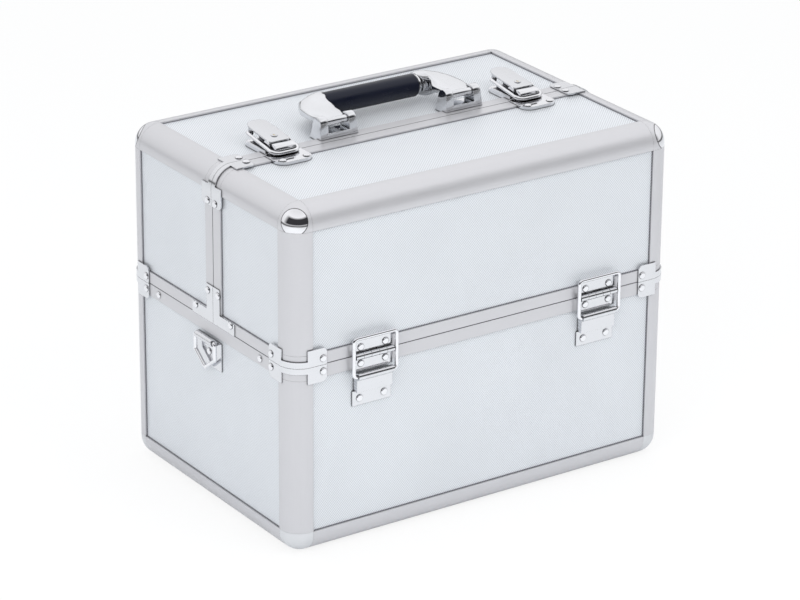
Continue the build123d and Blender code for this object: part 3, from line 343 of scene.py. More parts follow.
@dataclass(frozen=True)
class Finish:
    """A procedural finish on one Principled shader.

    Attributes:
        name: material name.
        colour: base colour, linear.
        roughness: middle roughness.
        metallic: metalness.
        edge: radius of the softened edges.
        crevice: how near another surface must stand to darken this one with painted shade.
        crevice_span: openness between which the painted crevice shade clears up.
        grime: share of the colour that is left in a tight crevice, as painted shade.
        stray: least and most roughness, as shares of the middle one.
        cloud: scale of the clouds that the roughness follows.
        cloud_detail: octaves of the clouds.
        cloud_span: the part of the clouds' range that is used.
    """

    name: str
    colour: Colour
    roughness: float
    metallic: float = 0.0
    edge: float = 0.0
    crevice: float = 0.0
    crevice_span: Span = (0.40, 0.92)
    grime: float = 0.12
    stray: Span = (0.85, 1.2)
    cloud: float = 90.0
    cloud_detail: float = 3.0
    cloud_span: Span = NOISE_MIDDLE

    def build(self) -> bpy.types.Material:
        """Make the material.

        Returns:
            The finished material.
        """
        made = bpy.data.materials.new(self.name)
        made.use_nodes = True
        graph = Graph(made.node_tree)
        paint = Paint(graph, graph.node("ShaderNodeBsdfPrincipled"))
        paint.put("Metallic", self.metallic)
        paint.put("Roughness", self.roughness)
        paint.put("Base Color", self.colour)
        graph.link(paint.shader.outputs[0], graph.node("ShaderNodeOutputMaterial").inputs[0])
        if self.edge:
            bevel = graph.node("ShaderNodeBevel", samples=EDGE_SAMPLES)
            graph.feed(bevel, "Radius", self.edge * MM)
            paint.soft = bevel.outputs[0]
            paint.put("Normal", paint.soft)
        self.detail(paint)
        if self.crevice:
            self.shade_crevices(paint)
        return made

    def shade_crevices(self, paint: Paint) -> None:
        """Paint shade into the base colour where other surfaces stand close, in crevices and tight gaps.

        Args:
            paint: the shader being finished.
        """
        graph = paint.graph
        # Painted shade: ambient occlusion darkens the base colour in crevices and tight gaps.
        near = graph.node("ShaderNodeAmbientOcclusion", samples=CREVICE_SAMPLES)
        graph.feed(near, "Distance", self.crevice * MM)
        clear = graph.remap(near.outputs["AO"], self.crevice_span)
        colour = paint.source("Base Color") or self.colour
        paint.put("Base Color", graph.mix(clear, tinted(self.colour, self.grime), colour))

    def vary_roughness(self, paint: Paint, pattern: Socket) -> None:
        """Let the roughness stray with a pattern.

        Args:
            paint: the shader being finished.
            pattern: noise that the roughness follows.
        """
        out = (self.roughness * self.stray[0], self.roughness * self.stray[1])
        paint.put("Roughness", paint.graph.remap(pattern, self.cloud_span, out))

    def clouds(self, graph: Graph) -> Socket:
        """Soft clouds over the object."""
        return graph.noise(graph.coordinates("Object"), self.cloud, self.cloud_detail)

    def detail(self, paint: Paint) -> None:
        """Add the finish's own texture; the plain finish has clouds in its gloss alone."""
        self.vary_roughness(paint, self.clouds(paint.graph))


@dataclass(frozen=True)
class EmbossedPanel(Finish):
    """Silver laminate with two sets of fine diagonal ribs, lined with cloth inside.

    Attributes:
        pitch: distance between ribs.
        depth: height of the ribs.
        crest: power that shapes the ribs.
        fainter: least height of the fainter set of ribs, as a share.
        groove_span: rib heights between which the painted shade in a groove fades out.
        groove_share: how much of the painted groove shade the deepest groove takes.
        groove_shade: colour of the painted groove shade, as a share of the laminate's.
        worn: darkest and lightest patch, as shares of the laminate's colour.
        patch: scale of the patches.
        wall: how deep inside the case's outer faces the lining starts.
        lining: colour of the cloth.
        weave: scale of the cloth's weave.
        thread: the lightest thread, as a multiple of the cloth's colour.
        cloth_roughness: roughness of the cloth.
    """

    pitch: float = 1.75
    depth: float = 0.12
    crest: float = 0.6
    fainter: float = 0.62
    groove_span: Span = (0.1, 0.8)
    groove_share: float = 0.85
    groove_shade: float = 0.53
    worn: Span = (0.975, 1.02)
    patch: float = 14.0
    wall: float = 5.6
    lining: Colour = (0.045, 0.047, 0.052)
    weave: float = 1400.0
    thread: float = 1.9
    cloth_roughness: float = 0.95

    def ribs(self, graph: Graph, along: Socket) -> Socket:
        """One set of ribs across a coordinate.

        Args:
            graph: the material's nodes.
            along: the coordinate, in metres.

        Returns:
            The ribs' height, from 0 to 1.
        """
        turn = graph.math("MULTIPLY", along, math.pi / (math.sqrt(2.0) * self.pitch * MM))
        wave = graph.math("SINE", turn)
        return graph.math("POWER", graph.math("ABSOLUTE", wave), self.crest)

    def emboss(self, graph: Graph) -> Socket:
        """Both sets of ribs, laid out on each face's own plane.

        Args:
            graph: the material's nodes.

        Returns:
            The ribs' height, from 0 to 1.
        """
        x, y, z = graph.split(graph.coordinates("Object"))
        *_, upward = graph.split(graph.coordinates("Normal"))
        level = graph.math("GREATER_THAN", graph.math("ABSOLUTE", upward), FACES_UP)
        flat = graph.math("ADD", x, y)
        rise = graph.product(z, graph.math("SUBTRACT", 1.0, level))
        lean = graph.product(y, 2.0, level)
        first = self.ribs(graph, graph.math("ADD", flat, rise))
        second = self.ribs(graph, graph.math("SUBTRACT", graph.math("SUBTRACT", flat, rise), lean))
        return graph.product(graph.remap(first, WHOLE, (self.fainter, 1.0)), second)

    def inside(self, graph: Graph) -> Socket:
        """Tell the lined inner faces from the outer ones.

        Args:
            graph: the material's nodes.

        Returns:
            One inside the case and zero outside.
        """
        x, y, z = graph.split(graph.coordinates("Object"))
        return graph.product(
            graph.math("LESS_THAN", graph.math("ABSOLUTE", x), (CASE.half_width - self.wall) * MM),
            graph.math("LESS_THAN", graph.math("ABSOLUTE", y), (CASE.half_depth - self.wall) * MM),
            graph.math("GREATER_THAN", z, self.wall * MM),
            graph.math("LESS_THAN", z, (CASE.height - self.wall) * MM),
        )

    def detail(self, paint: Paint) -> None:
        """Add the ribs, painted shade in their grooves and worn patches outside, and the cloth inside.

        Args:
            paint: the shader being finished.
        """
        graph = paint.graph
        place = graph.coordinates("Object")
        emboss, within = self.emboss(graph), self.inside(graph)
        patches = graph.remap(graph.noise(place, self.patch), NOISE_WIDE)
        dull, fresh = (tinted(self.colour, share) for share in self.worn)
        # Painted shade: the ribs' grooves are darkened in the base colour.
        deep = graph.remap(emboss, self.groove_span, (self.groove_share, 0.0))
        outer = graph.mix(deep, graph.mix(patches, dull, fresh), tinted(self.colour, self.groove_shade))
        weave = graph.noise(place, self.weave)
        cloth = graph.mix(weave, self.lining, tinted(self.lining, self.thread))
        paint.put("Base Color", graph.mix(within, outer, cloth))
        paint.put("Metallic", graph.remap(within, WHOLE, (self.metallic, 0.0)))
        paint.put("Roughness", graph.remap(within, WHOLE, (self.roughness, self.cloth_roughness)))
        paint.put("Normal", graph.bump(graph.mix(within, emboss, weave), self.depth))


@dataclass(frozen=True)
class GrooveLine(EmbossedPanel):
    """Painted shadow of the gap beside a panel, broken up by painted glints where the ribs run out into
    it.

    Attributes:
        glint: brightness of the painted glint on a rib's end, as a multiple of the line's colour.
        glint_span: rib heights between which the glint grows.
        glint_share: how much of the glint the highest rib takes.
    """

    glint: float = 4.5
    glint_span: Span = (0.35, 0.95)
    glint_share: float = 0.75

    def detail(self, paint: Paint) -> None:
        """Paint glints of light on the ribs' ends.

        Args:
            paint: the shader being finished.
        """
        graph = paint.graph
        x, y, z = graph.split(graph.coordinates("Object"))
        ribs = self.ribs(graph, graph.math("SUBTRACT", graph.math("ADD", x, y), z))
        lit = graph.remap(ribs, self.glint_span, (0.0, self.glint_share))
        # Painted highlight: glints where the ribs end, on the painted gap shadow.
        paint.put("Base Color", graph.mix(lit, self.colour, tinted(self.colour, self.glint)))


@dataclass(frozen=True)
class JointLine:
    """A dark joint line round the case.

    Attributes:
        axis: the axis that it stands across.
        place: where it lies on that axis.
        half: half its width.
        colour: its colour.
    """

    axis: Axis
    place: float
    half: float = 0.42
    colour: Colour = (0.10, 0.10, 0.11)


@dataclass(frozen=True)
class BrushedMetal(Finish):
    """Metal with fine grain along one axis.

    Attributes:
        grain: scale of the grain along X, Y and Z; small means long streaks.
        streak_detail: octaves of the grain.
        streak_share: how much the gloss follows the grain; the rest follows clouds.
        lift: height of the grain.
        tones: darkest and lightest streak, as shares of the colour.
        lines: dark joint lines drawn on it.
    """

    stray: Span = (0.75, 1.25)
    cloud: float = 25.0
    cloud_detail: float = 2.0
    grain: Point = (30.0, 2400.0, 2400.0)
    streak_detail: float = 4.0
    streak_share: float = 0.7
    lift: float = 0.004
    tones: Span = (0.97, 1.02)
    lines: tuple[JointLine, ...] = ()

    def detail(self, paint: Paint) -> None:
        """Add the grain, in gloss, colour and height, and the joint lines.

        Args:
            paint: the shader being finished.
        """
        graph = paint.graph
        place = graph.coordinates("Object")
        streaks = graph.noise(graph.stretch(place, self.grain), 1.0, self.streak_detail)
        grained = graph.product(streaks, self.streak_share)
        clouded = graph.product(self.clouds(graph), 1.0 - self.streak_share)
        self.vary_roughness(paint, graph.math("ADD", grained, clouded))
        dull, bright = (tinted(self.colour, share) for share in self.tones)
        shade = graph.mix(streaks, dull, bright)
        for line in self.lines:
            along = graph.split(place)[line.axis.value]
            away = graph.math("ABSOLUTE", graph.math("SUBTRACT", along, line.place * MM))
            shade = graph.mix(graph.math("LESS_THAN", away, line.half * MM), shade, line.colour)
        paint.put("Base Color", shade)
        paint.put("Normal", graph.bump(streaks, self.lift, paint.soft))


@dataclass(frozen=True)
class CornerCap(BrushedMetal):
    """A pressed corner with a polished round boss set in a satin skirt.

    Attributes:
        radius: how far the corner's middle lies inside each outer face.
        facing: direction of the boss from that middle, for positive X and Y.
        boss: cosine of the boss's half angle.
        rim: half width of the dark line round the boss, as a cosine.
        rim_shade: colour of that line, as a share of the skirt's.
        skirt: colour of the satin skirt.
        skirt_roughness, skirt_metallic: its roughness and metalness.
    """

    radius: float = 17.0
    facing: Point = (0.656, 0.656, 0.375)
    boss: float = 0.788
    rim: float = 0.014
    rim_shade: float = 0.25
    skirt: Colour = (0.575, 0.572, 0.592)
    skirt_roughness: float = 0.36
    skirt_metallic: float = 0.45

    def turn_from_boss(self, graph: Graph) -> Socket:
        """How squarely a point of the corner faces the middle of the boss.

        Args:
            graph: the material's nodes.

        Returns:
            The cosine of its angle from the middle of the boss.
        """
        x, y, z = graph.split(graph.coordinates("Object"))
        outer = (CASE.half_width, CASE.half_depth, CASE.height)
        along, size = 0.0, 0.0
        for part, edge, share in zip((x, y, z), outer, self.facing):
            mirrored = part if part is z else graph.math("ABSOLUTE", part)
            reach = graph.math("SUBTRACT", mirrored, (edge - self.radius) * MM)
            along = graph.math("ADD", along, graph.product(reach, share))
            size = graph.math("ADD", size, graph.product(reach, reach))
        return graph.math("DIVIDE", along, graph.math("SQRT", size))

    def detail(self, paint: Paint) -> None:
        """Set the polished boss in its skirt, with a dark line between them.

        Args:
            paint: the shader being finished.
        """
        super().detail(paint)
        graph = paint.graph
        bright, smooth = paint.source("Base Color"), paint.source("Roughness")
        turn = self.turn_from_boss(graph)
        polished = graph.math("GREATER_THAN", turn, self.boss)
        away = graph.math("ABSOLUTE", graph.math("SUBTRACT", turn, self.boss))
        shade = graph.mix(polished, self.skirt, bright)
        on_rim = graph.math("LESS_THAN", away, self.rim)
        paint.put("Base Color", graph.mix(on_rim, shade, tinted(self.skirt, self.rim_shade)))
        paint.put("Roughness", graph.mix(polished, (self.skirt_roughness,) * 3, smooth))
        paint.put("Metallic", graph.remap(polished, WHOLE, (self.skirt_metallic, self.metallic)))


@dataclass(frozen=True)
class GripPlastic(Finish):
    """Smooth dark grip with a soft clear sheen and a very fine pebble.

    Attributes:
        pebble: scale of the pebble.
        pebble_lift, pebble_strength: its height and how much of it shows.
        specular: strength of the plastic's own gloss.
        coat, coat_roughness: strength and roughness of the sheen.
    """

    stray: Span = (0.8, 1.25)
    cloud: float = 60.0
    cloud_detail: float = 2.0
    cloud_span: Span = NOISE_WIDE
    pebble: float = 1600.0
    pebble_lift: float = 0.02
    pebble_strength: float = 0.6
    specular: float = 0.26
    coat: float = 0.07
    coat_roughness: float = 0.18

    def detail(self, paint: Paint) -> None:
        """Add the pebble, the uneven gloss and the sheen.

        Args:
            paint: the shader being finished.
        """
        graph = paint.graph
        pebbles = graph.noise(graph.coordinates("Object"), self.pebble)
        paint.put("Normal", graph.bump(pebbles, self.pebble_lift, paint.soft, self.pebble_strength))
        self.vary_roughness(paint, self.clouds(graph))
        paint.put("Specular IOR Level", self.specular)
        paint.put("Coat Weight", self.coat)
        paint.put("Coat Roughness", self.coat_roughness)


@dataclass(frozen=True)
class MouldedPlastic(Finish):
    """Moulded plastic with a leathery texture.

    Attributes:
        cells: scale of the leathery cells.
        cell_lift, cell_strength: their height and how much of them shows.
    """

    stray: Span = (0.9, 1.1)
    cloud: float = 30.0
    cloud_detail: float = 2.0
    cloud_span: Span = NOISE_WIDE
    cells: float = 900.0
    cell_lift: float = 0.05
    cell_strength: float = 0.6

    def detail(self, paint: Paint) -> None:
        """Add the cells and the uneven gloss.

        Args:
            paint: the shader being finished.
        """
        graph = paint.graph
        cell = graph.node("ShaderNodeTexVoronoi")
        graph.feed(cell, "Vector", graph.coordinates("Object"))
        graph.feed(cell, "Scale", self.cells)
        paint.put("Normal", graph.bump(cell.outputs[0], self.cell_lift, paint.soft, self.cell_strength))
        self.vary_roughness(paint, self.clouds(graph))


SATIN_GREY: Colour = (0.575, 0.572, 0.592)
BRIGHT_GREY: Colour = (0.80, 0.80, 0.82)


def even(scale: float) -> Point:
    """Grain of the same scale along every axis."""
    return (scale, scale, scale)


class Finishes:
    """Every finish of the case, made once."""

    PANEL = EmbossedPanel("embossed_panel", (0.74, 0.765, 0.80), 0.42, 0.35, crevice=1.6)
    # Painted shadow: a near-black line for the shade in the gaps round the panels.
    GROOVE = GrooveLine("dark_groove", (0.07, 0.07, 0.08), 0.6)
    PROFILE_Z = BrushedMetal(
        "profile_upright",
        SATIN_GREY,
        roughness=0.36,
        metallic=0.45,
        edge=0.3,
        crevice=1.4,
        stray=(0.88, 1.12),
        grain=(1500.0, 1500.0, 30.0),
        lift=0.0012,
    )
    PROFILE = replace(PROFILE_Z, name="profile_mixed", grain=(300.0, 300.0, 1500.0))
    STRIP = replace(PROFILE_Z, name="plain_strip", grain=(30.0, 1500.0, 1500.0))
    RIM = replace(STRIP, name="rim_strip", lines=(JointLine(Axis.Z, CASE.seam),))
    SPLIT = replace(STRIP, name="split_strip", lines=(JointLine(Axis.Y, CASE.split),))
    CHROME = BrushedMetal(
        "chrome_plate", BRIGHT_GREY, 0.06, 1.0, 0.4, crevice=1.6, grain=even(300.0), lift=0.0005
    )
    CORNER = CornerCap(
        "corner_cap", BRIGHT_GREY, 0.05, 1.0, 0.3, crevice=1.2, grain=even(300.0), lift=0.0005
    )
    SATIN = BrushedMetal(
        "satin_plate",
        (0.70, 0.705, 0.725),
        roughness=0.13,
        metallic=1.0,
        edge=0.4,
        crevice=1.6,
        grain=(60.0, 2000.0, 2000.0),
        lift=0.002,
    )
    WIRE = BrushedMetal(
        "bright_wire", (0.82, 0.82, 0.84), 0.08, 1.0, crevice=1.6, grain=even(300.0), lift=0.0005
    )
    CAST = BrushedMetal(
        "polished_casting",
        (0.76, 0.765, 0.785),
        roughness=0.11,
        metallic=1.0,
        edge=0.4,
        crevice=1.6,
        grain=even(200.0),
        lift=0.001,
    )
    # Painted shade: near-black steel for the parts that lie in shadow under the latch levers.
    OILED = BrushedMetal(
        "dark_steel", (0.10, 0.10, 0.11), 0.25, 0.9, 0.3, grain=even(300.0), lift=0.001
    )
    STEEL = BrushedMetal(
        "link_steel", (0.60, 0.61, 0.63), 0.30, 1.0, 0.2, grain=(1500.0, 60.0, 60.0)
    )
    BRASS = BrushedMetal("lock_brass", (0.60, 0.50, 0.30), 0.28, 1.0, 0.2, grain=even(900.0))
    BALL = Finish("grey_ball_corner", (0.60, 0.61, 0.63), 0.42, edge=0.6)
    GRIP = GripPlastic("navy_grip", (0.0040, 0.0058, 0.0150), 0.30)
    TRAY = MouldedPlastic("tray_plastic", (0.022, 0.022, 0.025), 0.5, edge=0.5)

    def __init__(self) -> None:
        """Start with no material made."""
        self._made: dict[str, bpy.types.Material] = {}

    def get(self, finish: Finish) -> bpy.types.Material:
        """The material of a finish, made on first use.

        Args:
            finish: one of the finishes above.

        Returns:
            Its material.
        """
        if finish.name not in self._made:
            self._made[finish.name] = finish.build()
            log.info("finish %s", finish.name)
        return self._made[finish.name]


NODE_FINISHES: dict[str, Finish] = {
    "panel": Finishes.PANEL,
    "corner_posts": Finishes.PROFILE_Z,
    "bottom_edges": Finishes.PROFILE,
    "edge_profiles": Finishes.PROFILE,
    "rim_frame": Finishes.RIM,
    "seam_frame": Finishes.SPLIT,
    "base_corner_caps": Finishes.BALL,
    "lid_corner_caps": Finishes.CORNER,
    "stay_plates": Finishes.SATIN,
    "hinge_base_leaves": Finishes.SATIN,
    "hinge_leaves": Finishes.SATIN,
    "strap_plates": Finishes.SATIN,
    "brackets": Finishes.SATIN,
    "stay_rings": Finishes.WIRE,
    "strap_ring": Finishes.WIRE,
    "latch_lock": Finishes.BRASS,
    "handle_grip": Finishes.GRIP,
    "tray_arm": Finishes.STEEL,
    "tray_pins": Finishes.STEEL,
    "_tray": Finishes.TRAY,
}


def dress_nodes(finishes: Finishes) -> None:
    """Give every CAD node its finish.

    Args:
        finishes: the finish library.
    """
    for name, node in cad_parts.items():
        chosen = next((f for key, f in NODE_FINISHES.items() if key in name), Finishes.CHROME)
        material = finishes.get(chosen)
        if not node.material_slots:
            node.data.materials.append(material)
        for holder in node.material_slots:
            holder.material = material
        log.info("node %s wears %s", name, chosen.name)


# ------------------------------------------------------------ modelling bench


class Select(Enum):
    """What an edit-mode selection is made of."""

    VERT = "VERT"
    EDGE = "EDGE"
    FACE = "FACE"


class Piece:
    """One mesh shaped by operators. Lengths are millimetres in the case's frame.

    Attributes:
        WELD: how near two vertices must lie to be merged.
    """

    WELD = 0.002

    def __init__(self, name: str) -> None:
        """Take the primitive that was just added and put its place in its mesh.

        Args:
            name: name of the object and its mesh.
        """
        self.object = bpy.context.object
        self.object.name = name
        self.object.data.name = name
        bpy.ops.object.transform_apply(location=True, rotation=True, scale=True)

    @classmethod
    def cube(cls, name: str, low: Point, high: Point) -> "Piece":
        """Start from a cube.

        Args:
            name: object name.
            low: its low corner.
            high: its high corner.

        Returns:
            The new piece.
        """
        bpy.ops.object.select_all(action="DESELECT")
        middle = [(a + b) / 2 * MM for a, b in zip(low, high)]
        size = [abs(b - a) * MM for a, b in zip(low, high)]
        bpy.ops.mesh.primitive_cube_add(size=1.0, location=middle, scale=size)
        return cls(name)

    @classmethod
    def cylinder(
        cls,
        name: str,
        start: Point,
        length: float,
        radius: float,
        axis: Axis = Axis.X,
        vertices: int = 48,
    ) -> "Piece":
        """Start from a cylinder that runs from a point along an axis.

        Args:
            name: object name.
            start: middle of its first end.
            length: its length.
            radius: its radius.
            axis: the way it runs.
            vertices: corners of its ends.

        Returns:
            The new piece.
        """
        bpy.ops.object.select_all(action="DESELECT")
        middle = list(start)
        middle[axis.value] += length / 2
        bpy.ops.mesh.primitive_cylinder_add(
            vertices=vertices,
            radius=radius * MM,
            depth=length * MM,
            location=metres(middle),
            rotation=ROD_TURNS[axis],
        )
        return cls(name)

    @classmethod
    def plate(cls, name: str, middle: Point, across: Axis) -> "Piece":
        """Start from a square that reaches a millimetre to each side.

        Args:
            name: object name.
            middle: its middle.
            across: the axis that it stands across.

        Returns:
            The new piece.
        """
        bpy.ops.object.select_all(action="DESELECT")
        bpy.ops.mesh.primitive_plane_add(
            size=2 * MM, location=metres(middle), rotation=PLATE_TURNS[across]
        )
        return cls(name)

    def activate(self) -> None:
        """Select this object alone, in object mode."""
        if bpy.context.mode != "OBJECT":
            bpy.ops.object.mode_set(mode="OBJECT")
        bpy.ops.object.select_all(action="DESELECT")
        self.object.select_set(True)
        bpy.context.view_layer.objects.active = self.object

    def pick(self, kind: Select, test: Test) -> None:
        """Select parts of the mesh by their middle, and stay in edit mode.

        Args:
            kind: vertices, edges or faces.
            test: tells from a middle in millimetres whether it is wanted.
        """
        self.activate()
        bpy.ops.object.mode_set(mode="EDIT")
        bpy.ops.mesh.select_mode(type=kind.value)
        bpy.ops.mesh.select_all(action="DESELECT")
        bpy.ops.object.mode_set(mode="OBJECT")
        mesh = self.object.data
        points = [v.co / MM for v in mesh.vertices]
        if kind is Select.VERT:
            for vertex, point in zip(mesh.vertices, points):
                vertex.select = test(point)
        else:
            for part in mesh.edges if kind is Select.EDGE else mesh.polygons:
                corners = [points[i] for i in part.vertices]
                part.select = test(sum(corners, Vector()) / len(corners))
        bpy.ops.object.mode_set(mode="EDIT")

    def pick_all(self) -> None:
        """Select all faces, and stay in edit mode."""
        self.activate()
        bpy.ops.object.mode_set(mode="EDIT")
        bpy.ops.mesh.select_mode(type=Select.FACE.value)
        bpy.ops.mesh.select_all(action="SELECT")

    def leave(self) -> None:
        """Go back to object mode."""
        bpy.ops.object.mode_set(mode="OBJECT")

    def shift(self, test: Test, by: Point) -> None:
        """Move the vertices that pass a test.

        Args:
            test: the test.
            by: how far they move.
        """
        self.pick(Select.VERT, test)
        bpy.ops.transform.translate(value=metres(by))
        self.leave()

    def stretch(self, about: Point, by: Point) -> None:
        """Scale the whole mesh about a point.

        Args:
            about: the point that stays.
            by: factors along X, Y and Z.
        """
        self.pick_all()
        bpy.ops.transform.resize(value=by, center_override=metres(about))
        self.leave()

    def round_edges(self, test: Test, radius: float, segments: int) -> None:
        """Round the edges whose middles pass a test.

        Args:
            test: the test.
            radius: radius of the rounding.
            segments: faces round the rounding.
        """
        self.pick(Select.EDGE, test)
        bpy.ops.mesh.bevel(offset=radius * MM, offset_type="OFFSET", segments=segments, profile=0.5)
        self.leave()

    def soften(self, width: float, segments: int = 3, angle: float = 35.0) -> None:
        """Round every sharp edge a little with an applied modifier.

        Args:
            width: width of the rounding.
            segments: faces round it.
            angle: edges sharper than this are rounded, degrees.
        """
        bevel = self.object.modifiers.new("soften", "BEVEL")
        bevel.width = width * MM
        bevel.segments = segments
        bevel.limit_method = "ANGLE"
        bevel.angle_limit = math.radians(angle)
        bevel.harden_normals = False
        self.apply(bevel)

    def thicken(self, thickness: float) -> None:
        """Give a flat piece a thickness to both sides.

        Args:
            thickness: the whole thickness.
        """
        wall = self.object.modifiers.new("thick", "SOLIDIFY")
        wall.thickness = thickness * MM
        wall.offset = 0.0
        self.apply(wall)

    def apply(self, modifier: bpy.types.Modifier) -> None:
        """Apply one of the piece's modifiers."""
        self.activate()
        bpy.ops.object.modifier_apply(modifier=modifier.name)

    def take_in(self, others: Sequence["Piece"]) -> None:
        """Join other pieces to this one.

        Args:
            others: the pieces that become part of it.
        """
        self.activate()
        for other in others:
            other.object.select_set(True)
        bpy.ops.object.join()

    def copy_mirrored(self, name: str) -> "Piece":
        """Copy the piece to the other side of the case.

        Args:
            name: name of the copy.

        Returns:
            The copy, with a mesh of its own.
        """
        self.activate()
        bpy.ops.object.duplicate(linked=False)
        twin = Piece(name)
        twin.pick_all()
        bpy.ops.transform.mirror(constraint_axis=(True, False, False), center_override=(0.0, 0.0, 0.0))
        bpy.ops.mesh.normals_make_consistent(inside=False)
        twin.leave()
        return twin

    def close(
        self,
        body: str,
        finish: Finish,
        finishes: Finishes,
        slot: str,
        stands_for: Sequence[str] = (),
        angle: float = 40.0,
    ) -> None:
        """Finish the piece: normals, shading, material, body and the nodes it stands for.

        Args:
            body: the body it rides on.
            finish: its finish.
            finishes: the finish library.
            slot: the record's material slot; not used.
            stands_for: CAD nodes that it replaces.
            angle: edges flatter than this are shaded smooth, degrees.
        """
        self.pick_all()
        bpy.ops.mesh.remove_doubles(threshold=self.WELD * MM)
        bpy.ops.mesh.normals_make_consistent(inside=False)
        self.leave()
        bpy.ops.object.shade_smooth_by_angle(angle=math.radians(angle))
        self.object.data.materials.clear()
        self.object.data.materials.append(finishes.get(finish))
        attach(self.object, body)
        if stands_for:
            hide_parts(*stands_for)
        log.info("piece %s on %s, %d faces", self.object.name, body, len(self.object.data.polygons))


# -------------------------------------------------------------- the new pieces


@dataclass(frozen=True)
class Station:
    """One cross-section of a cast shoulder of the handle.

    Attributes:
        x, y, rise: its middle, with its height above the lid.
        heading: the way round the bend that it faces, degrees.
        half_width, half_thick: half its size across and upwards.
    """

    x: float
    y: float
    rise: float
    heading: float
    half_width: float
    half_thick: float


@dataclass(frozen=True)
class NeckRing:
    """One turned ring between the grip's free end and its shoulder.

    Attributes:
        start: how far beyond the grip it starts.
        length, radius: its size.
    """

    start: float
    length: float
    radius: float


@dataclass
class CarryHandle:
    """Navy grip between two cast shoulders that swing on posts on the back lid.

    Attributes:
        pin_y, pin_rise, pin_radius: the hinge line and its pins.
        pin_short: how far a pin ends inside the post's sides.
        grip_y, grip_rise, grip_radius: the grip's axis and size.
        grip_start, grip_length: where the bare grip runs along X.
        grip_round: radius of its end edges.
        post_x: middle of each post.
        post_width, post_top_width, post_depth: a post's size, its width at foot and top.
        cheek: thickness of a post's cheeks.
        ear, ear_round: half depth of a cheek's top, and how round it is.
        lean_back: how far the front of a post leans back at its top.
        seat: how far the posts reach down into the lid's frame.
        sill: height of the bar between the cheeks.
        sill_slope: how far its back leans forward.
        sill_lap: how far it reaches into the cheeks.
        sill_inset: how far it stands back from a post's front, back and foot.
        eye_radius, eye_lap: the rolled eyes on the pins, and their reach into the cheeks.
        stations: sections of the right shoulder, from its eye to the grip.
        section_round, section_segments: corners of a section, as a share of its half size.
        neck: rings at the grip's free end.
        edge, cheek_edge: width of the softened edges.
    """

    pin_y: float = 2.5
    pin_rise: float = 12.5
    pin_radius: float = 2.0
    pin_short: float = 0.6
    grip_y: float = 41.6
    grip_rise: float = 11.5
    grip_radius: float = 9.6
    grip_start: float = -49.5
    grip_length: float = 91.0
    grip_round: float = 2.2
    post_x: float = 60.5
    post_width: float = 36.0
    post_top_width: float = 33.0
    post_depth: float = 16.5
    cheek: float = 6.6
    ear: float = 5.0
    ear_round: float = 4.9
    lean_back: float = 2.4
    seat: float = 1.7
    sill: float = 4.6
    sill_slope: float = 2.5
    sill_lap: float = 1.5
    sill_inset: Point = (0.4, 0.6, 0.3)
    eye_radius: float = 3.0
    eye_lap: float = 0.6
    stations: tuple[Station, ...] = (
        Station(60.5, 3.0, 12.9, 90.0, 10.7, 2.6),
        Station(60.5, 8.2, 12.9, 90.0, 10.9, 3.2),
        Station(61.0, 12.6, 12.9, 90.0, 13.2, 3.7),
        Station(61.2, 20.0, 12.7, 92.0, 14.0, 4.3),
        Station(60.4, 28.5, 12.4, 112.0, 14.6, 5.3),
        Station(57.5, 35.0, 12.1, 135.0, 15.0, 6.8),
        Station(53.4, 39.2, 11.8, 158.0, 12.2, 8.6),
        Station(49.6, 41.6, 11.5, 180.0, 9.9, 9.8),
        Station(43.6, 45.4, 11.3, 180.0, 6.4, 8.7),
    )
    section_round: float = 0.66
    section_segments: int = 6
    neck: tuple[NeckRing, ...] = (
        NeckRing(0.1, 2.0, 8.3),
        NeckRing(2.1, 2.4, 5.6),
        NeckRing(4.5, 4.0, 7.8),
    )
    edge: float = 0.5
    cheek_edge: float = 0.4

    @property
    def pin_z(self) -> float:
        """Height of the hinge line."""
        return CASE.height + self.pin_rise

    @property
    def post_foot(self) -> float:
        """Height of the posts' feet."""
        return CASE.height - self.seat

    @property
    def post_top(self) -> float:
        """Height of the posts' tops."""
        return self.pin_z + self.ear

    @property
    def post_front(self) -> float:
        """Place of the posts' front along Y, at their feet."""
        return self.pin_y - self.ear - self.lean_back / 2

    @property
    def opening(self) -> float:
        """Half the clear width between a post's cheeks."""
        return self.post_top_width / 2 - self.cheek

    def build(self, finishes: Finishes) -> None:
        """Model the handle and its posts.

        Args:
            finishes: the finish library.
        """
        self.grip(finishes)
        self.shoulders(finishes)
        self.posts(finishes)

    def grip(self, finishes: Finishes) -> None:
        """The bare plastic grip with rounded ends.

        Args:
            finishes: the finish library.
        """
        start = (self.grip_start, self.grip_y, CASE.height + self.grip_rise)
        grip = Piece.cylinder("navy_grip", start, self.grip_length, self.grip_radius, vertices=72)
        ends = (self.grip_start, self.grip_start + self.grip_length)
        grip.round_edges(
            lambda m: min(abs(m.x - e) for e in ends) < NEAR, self.grip_round, segments=5
        )
        grip.close("handle", Finishes.GRIP, finishes, "grip", ["handle_grip"], angle=50.0)

    def shoulder(self, name: str) -> Piece:
        """The right cast shoulder: a crowned arm swept from its eye round to the grip's end.

        Args:
            name: object name.

        Returns:
            The arm.
        """
        first = self.stations[0]
        start = (first.x, first.y, CASE.height + first.rise)
        arm = Piece.plate(name, start, Axis.Y)
        arm.pick(Select.VERT, lambda v: True)
        bpy.ops.mesh.bevel(
            offset=self.section_round * MM, segments=self.section_segments, affect="VERTICES"
        )
        arm.leave()
        arm.stretch(start, (first.half_width, 1.0, first.half_thick))
        arm.pick_all()
        for now, then in zip(self.stations, self.stations[1:]):
            step = metres((then.x - now.x, then.y - now.y, then.rise - now.rise))
            bpy.ops.mesh.extrude_region_move(TRANSFORM_OT_translate={"value": step})
            place = metres((then.x, then.y, CASE.height + then.rise))
            wide = then.half_width / now.half_width
            tall = then.half_thick / now.half_thick
            bpy.ops.transform.resize(value=(wide, wide, tall), center_override=place)
            turn = math.radians(now.heading - then.heading)
            bpy.ops.transform.rotate(
                value=turn, orient_axis="Z", orient_type="GLOBAL", center_override=place
            )
        arm.leave()
        return arm

